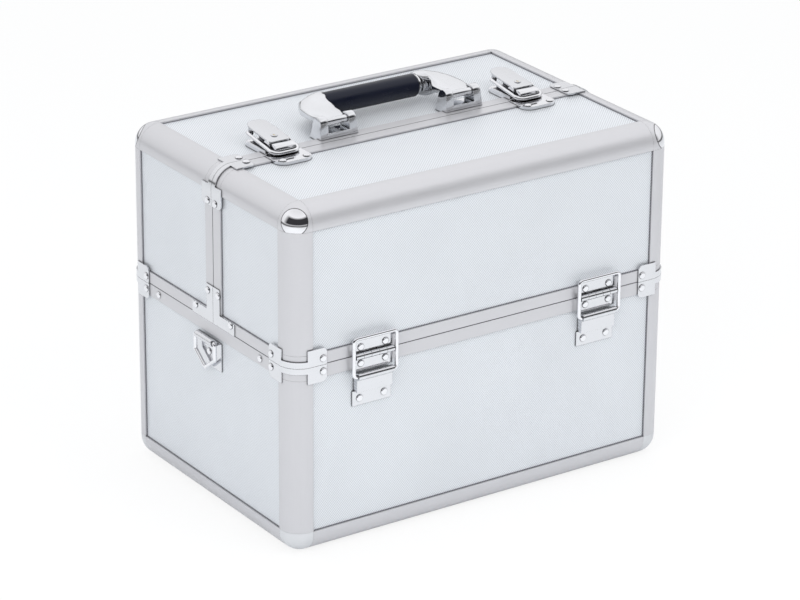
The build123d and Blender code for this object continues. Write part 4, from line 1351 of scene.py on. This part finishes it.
    def shoulders(self, finishes: Finishes) -> None:
        """Both shoulders, the rolled eyes on the pins and the neck at the grip's free end.

        Args:
            finishes: the finish library.
        """
        right = self.shoulder("handle_cast_arms")
        left = right.copy_mirrored("left_cast_arm")
        turned = []
        reach = self.opening + self.eye_lap
        for side in Side:
            start = (side.value * self.post_x - reach, self.pin_y, self.pin_z)
            turned.append(
                Piece.cylinder(f"{side.word}_rolled_eye", start, 2 * reach, self.eye_radius, vertices=32)
            )
        free = self.grip_start + self.grip_length
        for ring in self.neck:
            start = (free + ring.start, self.grip_y, CASE.height + self.grip_rise)
            turned.append(Piece.cylinder("neck_ring", start, ring.length, ring.radius))
        for piece in turned:
            piece.soften(self.edge)
        right.take_in([left, *turned])
        right.close("handle", Finishes.CAST, finishes, "chrome", ["handle_arms"], angle=55.0)

    def post_cheek(self, side: Side, hand: Side) -> Piece:
        """One cheek of a post: flared at its foot, leaning back, round at its top.

        Args:
            side: which post.
            hand: which of its cheeks.

        Returns:
            The cheek.
        """
        middle = side.value * self.post_x
        outer = middle + hand.value * self.post_width / 2
        inner = middle + hand.value * self.opening
        front, top = self.post_front, self.post_top
        low = (min(outer, inner), front, self.post_foot)
        high = (max(outer, inner), front + self.post_depth, top)
        cheek = Piece.cube("post_cheek", low, high)
        flare = (self.post_width - self.post_top_width) / 2
        narrow = self.post_depth - self.lean_back - 2 * self.ear
        cheek.shift(
            lambda v: abs(v.x - outer) < NEAR and v.z > top - NEAR, (-hand.value * flare, 0.0, 0.0)
        )
        cheek.shift(lambda v: v.y < front + NEAR and v.z > top - NEAR, (0.0, self.lean_back, 0.0))
        cheek.shift(lambda v: v.y > self.pin_y and v.z > top - NEAR, (0.0, -narrow, 0.0))
        cheek.round_edges(
            lambda m: m.z > top - NEAR and abs(m.y - self.pin_y) > self.ear / 2,
            self.ear_round,
            segments=8,
        )
        cheek.soften(self.cheek_edge)
        return cheek

    def post_sill(self, side: Side) -> Piece:
        """The bar between a post's cheeks, sloping at its back.

        Args:
            side: which post.

        Returns:
            The bar.
        """
        middle, reach = side.value * self.post_x, self.opening + self.sill_lap
        in_front, behind, below = self.sill_inset
        back = self.post_front + self.post_depth - behind
        low = (middle - reach, self.post_front + in_front, self.post_foot + below)
        sill = Piece.cube("post_sill", low, (middle + reach, back, CASE.height + self.sill))
        sill.shift(lambda v: v.y > self.pin_y and v.z > CASE.height, (0.0, -self.sill_slope, 0.0))
        sill.soften(self.edge)
        return sill

    def post_pin(self, side: Side) -> Piece:
        """The hinge pin through a post's cheeks.

        Args:
            side: which post.

        Returns:
            The pin.
        """
        half = self.post_top_width / 2 - self.pin_short
        start = (side.value * self.post_x - half, self.pin_y, self.pin_z)
        return Piece.cylinder("post_pin", start, 2 * half, self.pin_radius, vertices=24)

    def posts(self, finishes: Finishes) -> None:
        """Two flared posts with rounded ears, a sill between the cheeks and the pins.

        Args:
            finishes: the finish library.
        """
        parts = []
        for side in Side:
            parts += [self.post_cheek(side, hand) for hand in Side]
            parts += [self.post_sill(side), self.post_pin(side)]
        first = parts[0]
        first.object.name = "handle_cast_posts"
        first.take_in(parts[1:])
        first.close("back_lid", Finishes.CAST, finishes, "chrome", ["handle_brackets"])


@dataclass
class DrawLatch:
    """The pressed lever and lock of a draw latch, its base channel and the nose of its keeper.

    Attributes:
        side: which latch.
        x: distance from the middle of the case.
        front_y, back_y: the ends of the lever's tongue.
        half_width, plate: the tongue's half width and thickness.
        back_rise, front_rise: height of its ends above the lid.
        tip_round, front_round: corners of its free end and of its front.
        tongue_edge, block_edge, ridge_edge: width of the softened edges of these pieces.
        flange_edge, key_edge, nose_edge: the same for the thin and small ones.
        block_y: how far the block under the tongue reaches back.
        block_inset: how far it stands back from the tongue's side, front and top.
        block_low, block_slope: its underside, and how much higher its back is.
        bail_y, bail_rise: the pivot of the wire bail.
        lug_radius, lug_thick: the lugs that carry it.
        web_half, web_inset, web_rise: the webs from the lugs to the tongue.
        well_half, well_y, well_rise: the channel's floor, dark with painted shade.
        ridge_half, ridge_y, ridge_rise: the pressed ridge on it.
        flange_x, flange_thick, flange_y, flange_rise: the upright flanges.
        flange_slope: how far a flange's back end slopes.
        lock_y, lock_radius: the lock cylinder.
        lock_low, lock_proud: its lower end, and how far it stands above the tongue.
        lock_round: the rounding of its face.
        key_half: half width and half length of the key slot.
        key_depth: its lower and upper side against the tongue.
        nose_half, nose_y, nose_rise: the keeper's nose.
        nose_round, nose_corner: its upper edge and its front corners.
    """

    side: Side
    x: float = 118.0
    front_y: float = -5.9
    back_y: float = 34.0
    half_width: float = 9.6
    plate: float = 2.0
    back_rise: float = 14.4
    front_rise: float = 9.6
    tip_round: float = 9.0
    front_round: float = 2.5
    tongue_edge: float = 0.55
    block_y: float = 11.5
    block_inset: Point = (0.5, 0.4, 1.0)
    block_low: float = 4.6
    block_slope: float = 2.0
    block_edge: float = 0.8
    bail_y: float = 24.0
    bail_rise: float = 9.0
    lug_radius: float = 3.0
    lug_thick: float = 1.6
    web_half: float = 2.4
    web_inset: float = 0.1
    web_rise: float = 12.4
    well_half: float = 13.0
    well_y: Span = (-5.0, 22.0)
    well_rise: Span = (0.9, 1.9)
    ridge_half: float = 8.6
    ridge_y: Span = (6.0, 21.0)
    ridge_rise: Span = (1.2, 4.0)
    ridge_edge: float = 0.6
    flange_x: Span = (-14.1, 13.35)
    flange_thick: float = 0.75
    flange_y: Span = (-6.0, 22.5)
    flange_rise: Span = (0.6, 3.3)
    flange_slope: float = 2.0
    flange_edge: float = 0.2
    lock_y: float = 3.2
    lock_radius: float = 2.6
    lock_low: float = 6.5
    lock_proud: float = 0.2
    lock_round: float = 0.3
    key_half: Span = (0.5, 1.6)
    key_depth: Span = (-0.3, 0.32)
    key_edge: float = 0.12
    nose_half: float = 9.2
    nose_y: Span = (-14.9, -7.5)
    nose_rise: Span = (0.6, 8.6)
    nose_round: float = 4.2
    nose_corner: float = 2.0
    nose_edge: float = 0.5

    @property
    def middle(self) -> float:
        """Middle of the latch along X."""
        return self.side.value * self.x

    def build(self, finishes: Finishes) -> None:
        """Model the lever, the channel, the lock and the nose.

        Args:
            finishes: the finish library.
        """
        self.lever_tongue(finishes)
        self.lever_block(finishes)
        self.base_channel(finishes)
        self.lock(finishes)
        self.keeper_nose(finishes)

    def bar(self, name: str, half: float, along: Span, rise: Span) -> Piece:
        """A bar on the latch's middle line.

        Args:
            name: its name, before the side's word.
            half: half its width.
            along: its ends along Y.
            rise: its lower and upper side above the lid.

        Returns:
            The bar.
        """
        low = (self.middle - half, along[0], CASE.height + rise[0])
        high = (self.middle + half, along[1], CASE.height + rise[1])
        return Piece.cube(f"{name}_{self.side.word}", low, high)

    def lever_tongue(self, finishes: Finishes) -> None:
        """A sloping tongue with a rounded end, and the lugs that carry the wire bail.

        Args:
            finishes: the finish library.
        """
        word, wide = self.side.word, self.half_width - NEAR
        rise = (self.back_rise - self.plate, self.back_rise)
        tongue = self.bar("latch_tongue", self.half_width, (self.front_y, self.back_y), rise)
        drop = self.front_rise - self.back_rise
        tongue.shift(lambda v: v.y < self.front_y + NEAR, (0.0, 0.0, drop))
        tongue.round_edges(
            lambda m: m.y > self.back_y - NEAR and abs(m.x - self.middle) > wide,
            self.tip_round,
            segments=10,
        )
        tongue.round_edges(
            lambda m: m.y < self.front_y + NEAR and abs(m.x - self.middle) > wide,
            self.front_round,
            segments=4,
        )
        tongue.soften(self.tongue_edge)
        extras = []
        for start in (-self.half_width, self.half_width - self.lug_thick):
            at = self.middle + start
            pivot = (at, self.bail_y, CASE.height + self.bail_rise)
            low = (at + self.web_inset, self.bail_y - self.web_half, CASE.height + self.bail_rise)
            high = (
                at + self.lug_thick - self.web_inset,
                self.bail_y + self.web_half,
                CASE.height + self.web_rise,
            )
            extras += [
                Piece.cylinder(f"lug_{word}", pivot, self.lug_thick, self.lug_radius, vertices=24),
                Piece.cube(f"web_{word}", low, high),
            ]
        tongue.take_in(extras)
        tongue.close(f"lever_{word}", Finishes.SATIN, finishes, "chrome", [f"latch_lever_{word}"])

    def lever_block(self, finishes: Finishes) -> None:
        """The block under the tongue, sloping with it, near-black with painted shade.

        Args:
            finishes: the finish library.
        """
        beside, in_front, below = self.block_inset
        top = self.front_rise - below
        along = (self.front_y + in_front, self.block_y)
        block = self.bar("lever_block", self.half_width - beside, along, (self.block_low, top))
        upper = CASE.height + top - NEAR
        block.shift(
            lambda v: v.y > self.block_y - NEAR and v.z > upper, (0.0, 0.0, self.block_slope)
        )
        block.soften(self.block_edge)
        # Painted shade: the block is near-black for the shadow under the tongue.
        block.close(f"lever_{self.side.word}", Finishes.OILED, finishes, "steel")

    def base_channel(self, finishes: Finishes) -> None:
        """The channel under the lever: a floor dark with painted shade, between two thin upright
        flanges.

        Args:
            finishes: the finish library.
        """
        well = self.bar("latch_well", self.well_half, self.well_y, self.well_rise)
        ridge = self.bar("ridge", self.ridge_half, self.ridge_y, self.ridge_rise)
        ridge.soften(self.ridge_edge, segments=2)
        well.take_in([ridge])
        # Painted shade: the floor and its ridge are near-black for the shadow under the lever.
        well.close("back_lid", Finishes.OILED, finishes, "steel")
        front, back = self.flange_y
        foot, top = (CASE.height + rise for rise in self.flange_rise)
        flanges = []
        for start in self.flange_x:
            low = (self.middle + start, front, foot)
            high = (self.middle + start + self.flange_thick, back, top)
            flange = Piece.cube(f"flange_{self.side.word}", low, high)
            flange.shift(
                lambda v: v.y > back - NEAR and v.z > top - NEAR, (0.0, -self.flange_slope, 0.0)
            )
            flange.soften(self.flange_edge, segments=2)
            flanges.append(flange)
        flanges[0].object.name = f"latch_flanges_{self.side.word}"
        flanges[0].take_in(flanges[1:])
        flanges[0].close("back_lid", Finishes.CHROME, finishes, "chrome")

    def lock(self, finishes: Finishes) -> None:
        """A small lock cylinder in the tongue, with a brass key slot.

        Args:
            finishes: the finish library.
        """
        word = self.side.word
        slope = (self.back_rise - self.front_rise) / (self.back_y - self.front_y)
        level = self.front_rise + slope * (self.lock_y + self.lock_radius - self.front_y)
        start = (self.middle, self.lock_y, CASE.height + self.lock_low)
        height = level + self.lock_proud - self.lock_low
        face = Piece.cylinder(
            f"lock_face_{word}", start, height, self.lock_radius, Axis.Z, vertices=32
        )
        top = CASE.height + level + self.lock_proud
        face.round_edges(lambda m: m.z > top - NEAR, self.lock_round, segments=3)
        face.close(f"lock_{word}", Finishes.SATIN, finishes, "lock_metal", [f"latch_lock_{word}"])
        half_width, half_length = self.key_half
        along = (self.lock_y - half_length, self.lock_y + half_length)
        rise = (level + self.key_depth[0], level + self.key_depth[1])
        slot = self.bar("key_slot", half_width, along, rise)
        slot.soften(self.key_edge, segments=2)
        slot.close(f"lock_{word}", Finishes.BRASS, finishes, "lock_metal")

    def keeper_nose(self, finishes: Finishes) -> None:
        """The bright nose that the wire draws against, on the front lid.

        Args:
            finishes: the finish library.
        """
        nose = self.bar("keeper_nose", self.nose_half, self.nose_y, self.nose_rise)
        front, top = self.nose_y[0] + NEAR, CASE.height + self.nose_rise[1]
        wide, arc = self.nose_half - NEAR, top - self.nose_round
        nose.round_edges(
            lambda m: m.y < front and m.z > top - NEAR, self.nose_round, segments=7
        )
        nose.round_edges(
            lambda m: m.y < front and abs(m.x - self.middle) > wide and m.z < arc,
            self.nose_corner,
            segments=4,
        )
        nose.soften(self.nose_edge)
        nose.close("front_lid", Finishes.CHROME, finishes, "chrome")


@dataclass(frozen=True)
class PanelFrame:
    """Where the painted shadow line round one visible panel runs.

    Attributes:
        name: name of the line.
        body: the body it rides on.
        across: the axis that the panel stands across.
        place: the panel's place on that axis.
        first, second: the panel's spans along the other two axes, in their order.
    """

    name: str
    body: str
    across: Axis
    place: float
    first: Span
    second: Span

    def lay(self, across: float, first: float, second: float) -> Point:
        """Put three values in the order of the axes.

        Args:
            across: the value for the axis that the panel stands across.
            first: the value for the first of the other two axes.
            second: the value for the second.

        Returns:
            The values along X, Y and Z.
        """
        values = [first, second]
        values.insert(self.across.value, across)
        return tuple(values)


@dataclass
class PanelLines:
    """A narrow dark line of painted shadow in the gap between each panel and the extrusions that hold
    it.

    Attributes:
        width: width of the painted shadow line.
        proud: how far the line stands off the panel.
        sunk: how deep the panels lie behind the case's outer faces.
        reach: how far the panels end inside the case's edges.
        strip: how far they end from the seam in the base, and from the split of the lids.
        lid_strip: how far they end from the seam in the lids.
    """

    width: float = 0.75
    proud: float = 0.12
    sunk: float = 1.7
    reach: float = 19.5
    strip: float = 11.0
    lid_strip: float = 9.7

    def frames(self) -> Iterator[PanelFrame]:
        """Go round the visible panels.

        Returns:
            The frame of each panel's line.
        """
        x = CASE.half_width - self.reach
        y = CASE.half_depth - self.reach
        face_x = CASE.half_width - self.sunk
        face_y = CASE.half_depth - self.sunk
        wide, deep = (-x, x), (-y, y)
        low = (self.reach, CASE.seam - self.strip)
        high = (CASE.seam + self.lid_strip, CASE.height - self.reach)
        lids = (
            (-1, "front", (-y, CASE.split - self.strip)),
            (1, "back", (CASE.split + self.strip, y)),
        )
        for sign, word, span in lids:
            body = f"{word}_lid"
            yield PanelFrame(f"line_base_{word}", "base", Axis.Y, sign * face_y, wide, low)
            yield PanelFrame(f"line_lid_{word}", body, Axis.Y, sign * face_y, wide, high)
            yield PanelFrame(f"line_top_{word}", body, Axis.Z, CASE.height - self.sunk, wide, span)
            for side in Side:
                name = f"line_lid_{word}_{side.word}"
                yield PanelFrame(name, body, Axis.X, side.value * face_x, span, high)
        for side in Side:
            yield PanelFrame(f"line_base_{side.word}", "base", Axis.X, side.value * face_x, deep, low)

    def build(self, finishes: Finishes) -> None:
        """Model each painted shadow line as a thin frame with an open middle.

        Args:
            finishes: the finish library.
        """
        for panel in self.frames():
            # Each frame is a dark strip standing in for the shadow in a panel's gap.
            self.line(panel).close(panel.body, Finishes.GROOVE, finishes, "profile")

    def line(self, panel: PanelFrame) -> Piece:
        """One line: a flat plate, inset, its middle deleted, given a thickness.

        Args:
            panel: the panel that it runs round.

        Returns:
            The line.
        """
        first, second = panel.first, panel.second
        middle = panel.lay(panel.place, sum(first) / 2, sum(second) / 2)
        size = panel.lay(1.0, (first[1] - first[0]) / 2, (second[1] - second[0]) / 2)
        line = Piece.plate(panel.name, middle, panel.across)
        line.stretch(middle, size)
        line.pick_all()
        bpy.ops.mesh.inset(thickness=self.width * MM, depth=0.0)
        bpy.ops.mesh.delete(type="FACE")
        line.leave()
        line.thicken(2 * self.proud)
        return line


# ------------------------------------------------------------- studio, camera


@dataclass(frozen=True)
class Lamp:
    """A soft square light aimed at the case, which doesn't show in reflections.

    Attributes:
        name: object name.
        where: its place, in metres.
        size: its side, in metres.
        power: watts.
        target: what it is aimed at, in metres.
    """

    name: str
    where: Point
    size: float
    power: float
    target: Point = (0.0, 0.0, 0.14)

    def build(self) -> None:
        """Hang the light."""
        data = bpy.data.lights.new(self.name, "AREA")
        data.shape = "SQUARE"
        data.size = self.size
        data.energy = self.power
        lamp = bpy.data.objects.new(self.name, data)
        lamp.visible_glossy = False
        bpy.context.scene.collection.objects.link(lamp)
        lamp.location = self.where
        aim = Vector(self.target) - Vector(self.where)
        lamp.rotation_euler = aim.to_track_quat("-Z", "Y").to_euler()
        log.info("light %s", self.name)


@dataclass
class Studio:
    """Pale floor, white surround and soft lights.

    Attributes:
        floor_size, floor_drop: the floor's side, and how far it lies below the feet.
        floor_colour, floor_roughness: its finish.
        floor_white: how much of it the camera sees as plain white.
        surround: strength of the light from all round.
        air: its colour.
        cool: tint of its reflections.
        bands: height and brightness of what metal mirrors, from straight below to above.
        dark_side: where the dark part of the studio lies.
        dark_reach: cosines from that side between which it grows.
        dark_low, dark_high: heights between which it starts and ends.
        dark_full: how dark it gets.
        dark_colour: its colour.
        lamps: the lights.
    """

    floor_size: float = 6000.0
    floor_drop: float = 0.2
    floor_colour: Colour = (0.92, 0.93, 0.94)
    floor_roughness: float = 0.7
    floor_white: float = 0.85
    surround: float = 0.76
    air: Colour = (0.97, 0.985, 1.0)
    cool: Colour = (1.0, 1.005, 1.02)
    bands: tuple[Span, ...] = (
        (0.0, 0.74),
        (0.42, 0.76),
        (0.46, 0.30),
        (0.505, 0.20),
        (0.54, 1.22),
        (0.85, 1.46),
        (1.0, 1.24),
    )
    dark_side: Point = (-0.45, -0.89, 0.0)
    dark_reach: Span = (0.02, 0.36)
    dark_low: Span = (0.04, 0.14)
    dark_high: Span = (0.72, 0.58)
    dark_full: float = 0.97
    dark_colour: Colour = (0.02, 0.02, 0.025)
    lamps: tuple[Lamp, ...] = (
        Lamp("key", (-1.9, -1.2, 1.7), 1.4, 24.0),
        Lamp("front_fill", (0.9, -2.6, 0.9), 1.6, 4.0),
        Lamp("top", (0.1, 0.1, 2.4), 1.6, 13.0),
        Lamp("front_top", (0.15, -0.75, 1.0), 0.5, 2.2),
    )

    def build(self) -> None:
        """Make the floor, the surround and the lights."""
        bpy.ops.mesh.primitive_plane_add(
            size=self.floor_size * MM, location=(0.0, 0.0, -self.floor_drop * MM)
        )
        floor = bpy.context.object
        floor.name = "floor"
        floor.data.materials.append(self.floor_finish())
        self.world()
        for lamp in self.lamps:
            lamp.build()

    def floor_finish(self) -> bpy.types.Material:
        """A pale matt floor that the camera sees as white with a trace of shadow.

        Returns:
            The floor's material.
        """
        made = Finish("pale_floor", self.floor_colour, self.floor_roughness).build()
        tree = made.node_tree
        shader = next(n for n in tree.nodes if n.type == "BSDF_PRINCIPLED")
        out = next(n for n in tree.nodes if n.type == "OUTPUT_MATERIAL")
        white = tree.nodes.new("ShaderNodeEmission")
        white.inputs[0].default_value = (*WHITE, 1.0)
        rays = tree.nodes.new("ShaderNodeLightPath")
        share = tree.nodes.new("ShaderNodeMath")
        share.operation = "MULTIPLY"
        tree.links.new(rays.outputs["Is Camera Ray"], share.inputs[0])
        share.inputs[1].default_value = self.floor_white
        pick = tree.nodes.new("ShaderNodeMixShader")
        tree.links.new(share.outputs[0], pick.inputs[0])
        tree.links.new(shader.outputs[0], pick.inputs[1])
        tree.links.new(white.outputs[0], pick.inputs[2])
        tree.links.new(pick.outputs[0], out.inputs[0])
        return made

    def mirrored(self, graph: Graph) -> Socket:
        """What metal mirrors: grey bands by height, with the dark part of the studio in front.

        Args:
            graph: the world's nodes.

        Returns:
            The colour seen in reflections.
        """
        way = graph.coordinates("Generated")
        *_, height = graph.split(way)
        ramp = graph.node("ShaderNodeValToRGB")
        graph.link(graph.remap(height, (-1.0, 1.0)), ramp.inputs[0])
        elements = ramp.color_ramp.elements
        while len(elements) < len(self.bands):
            elements.new(0.5)
        for element, (where, level) in zip(elements, self.bands):
            element.position = where
            element.color = (*(level * channel for channel in self.cool), 1.0)
        aim = graph.node("ShaderNodeVectorMath", operation="DOT_PRODUCT")
        graph.feed(aim, 0, way)
        graph.feed(aim, 1, self.dark_side)
        ahead = graph.remap(aim.outputs["Value"], self.dark_reach)
        raised = graph.remap(height, self.dark_low)
        below = graph.remap(height, self.dark_high, (0.0, self.dark_full))
        return graph.mix(graph.product(ahead, raised, below), ramp.outputs[0], self.dark_colour)

    def world(self) -> None:
        """White seen directly, banded grey in reflections."""
        world = bpy.data.worlds.new("surround")
        bpy.context.scene.world = world
        world.use_nodes = True
        graph = Graph(world.node_tree)
        rays = graph.node("ShaderNodeLightPath")
        seen = graph.node("ShaderNodeBackground")
        graph.feed(seen, 0, WHITE)
        graph.feed(seen, 1, 1.0)
        around = graph.node("ShaderNodeBackground")
        graph.feed(around, 0, graph.mix(rays.outputs["Is Glossy Ray"], self.air, self.mirrored(graph)))
        graph.feed(around, 1, self.surround)
        pick = graph.node("ShaderNodeMixShader")
        graph.link(rays.outputs["Is Camera Ray"], pick.inputs[0])
        graph.link(around.outputs[0], pick.inputs[1])
        graph.link(seen.outputs[0], pick.inputs[2])
        graph.link(pick.outputs[0], graph.node("ShaderNodeOutputWorld").inputs[0])


@dataclass
class PhotoCamera:
    """The photograph's viewpoint.

    Attributes:
        azimuth, elevation, roll: directions in degrees.
        place: camera position, millimetres.
        focal_px: focal length in pixels of an image width_px wide.
        width_px: width of that image.
        sensor: sensor width, millimetres.
        clip: nearest and farthest distance seen, in metres.
    """

    azimuth: float = -34.21
    elevation: float = 22.59
    roll: float = 0.433
    place: Point = (-1570.0, -2310.7, 1298.9)
    focal_px: float = 3686.2
    width_px: float = 800.0
    sensor: float = 36.0
    clip: Span = (0.05, 50.0)

    def build(self) -> None:
        """Make the camera and hand it to the scene."""
        turn, tilt, roll = (math.radians(v) for v in (self.azimuth, self.elevation, self.roll))
        level = math.cos(tilt)
        back = Vector((math.sin(turn) * level, -math.cos(turn) * level, math.sin(tilt)))
        right = (-back).cross(Vector((0.0, 0.0, 1.0))).normalized()
        up = right.cross(-back).normalized()
        leaned_right = right * math.cos(roll) + up * math.sin(roll)
        leaned_up = up * math.cos(roll) - right * math.sin(roll)
        data = bpy.data.cameras.new("photo_camera")
        data.sensor_fit = "HORIZONTAL"
        data.sensor_width = self.sensor
        data.lens = self.focal_px / self.width_px * self.sensor
        data.clip_start, data.clip_end = self.clip
        camera = bpy.data.objects.new("photo_camera", data)
        bpy.context.scene.collection.objects.link(camera)
        axes = Matrix((leaned_right, leaned_up, back)).transposed().to_4x4()
        camera.matrix_world = Matrix.Translation(Vector(self.place) * MM) @ axes
        bpy.context.scene.camera = camera
        log.info("camera %.1f mm lens", data.lens)


def main() -> None:
    """Dress the case, light it and look at it."""
    logging.basicConfig(level=logging.INFO, format="%(name)s: %(message)s")
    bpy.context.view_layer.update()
    bpy.context.scene.view_settings.view_transform = "Standard"
    PhotoCamera().build()
    Studio().build()
    finishes = Finishes()
    dress_nodes(finishes)
    CarryHandle().build(finishes)
    for side in Side:
        DrawLatch(side).build(finishes)
    PanelLines().build(finishes)


if __name__ == "__main__":
    main()
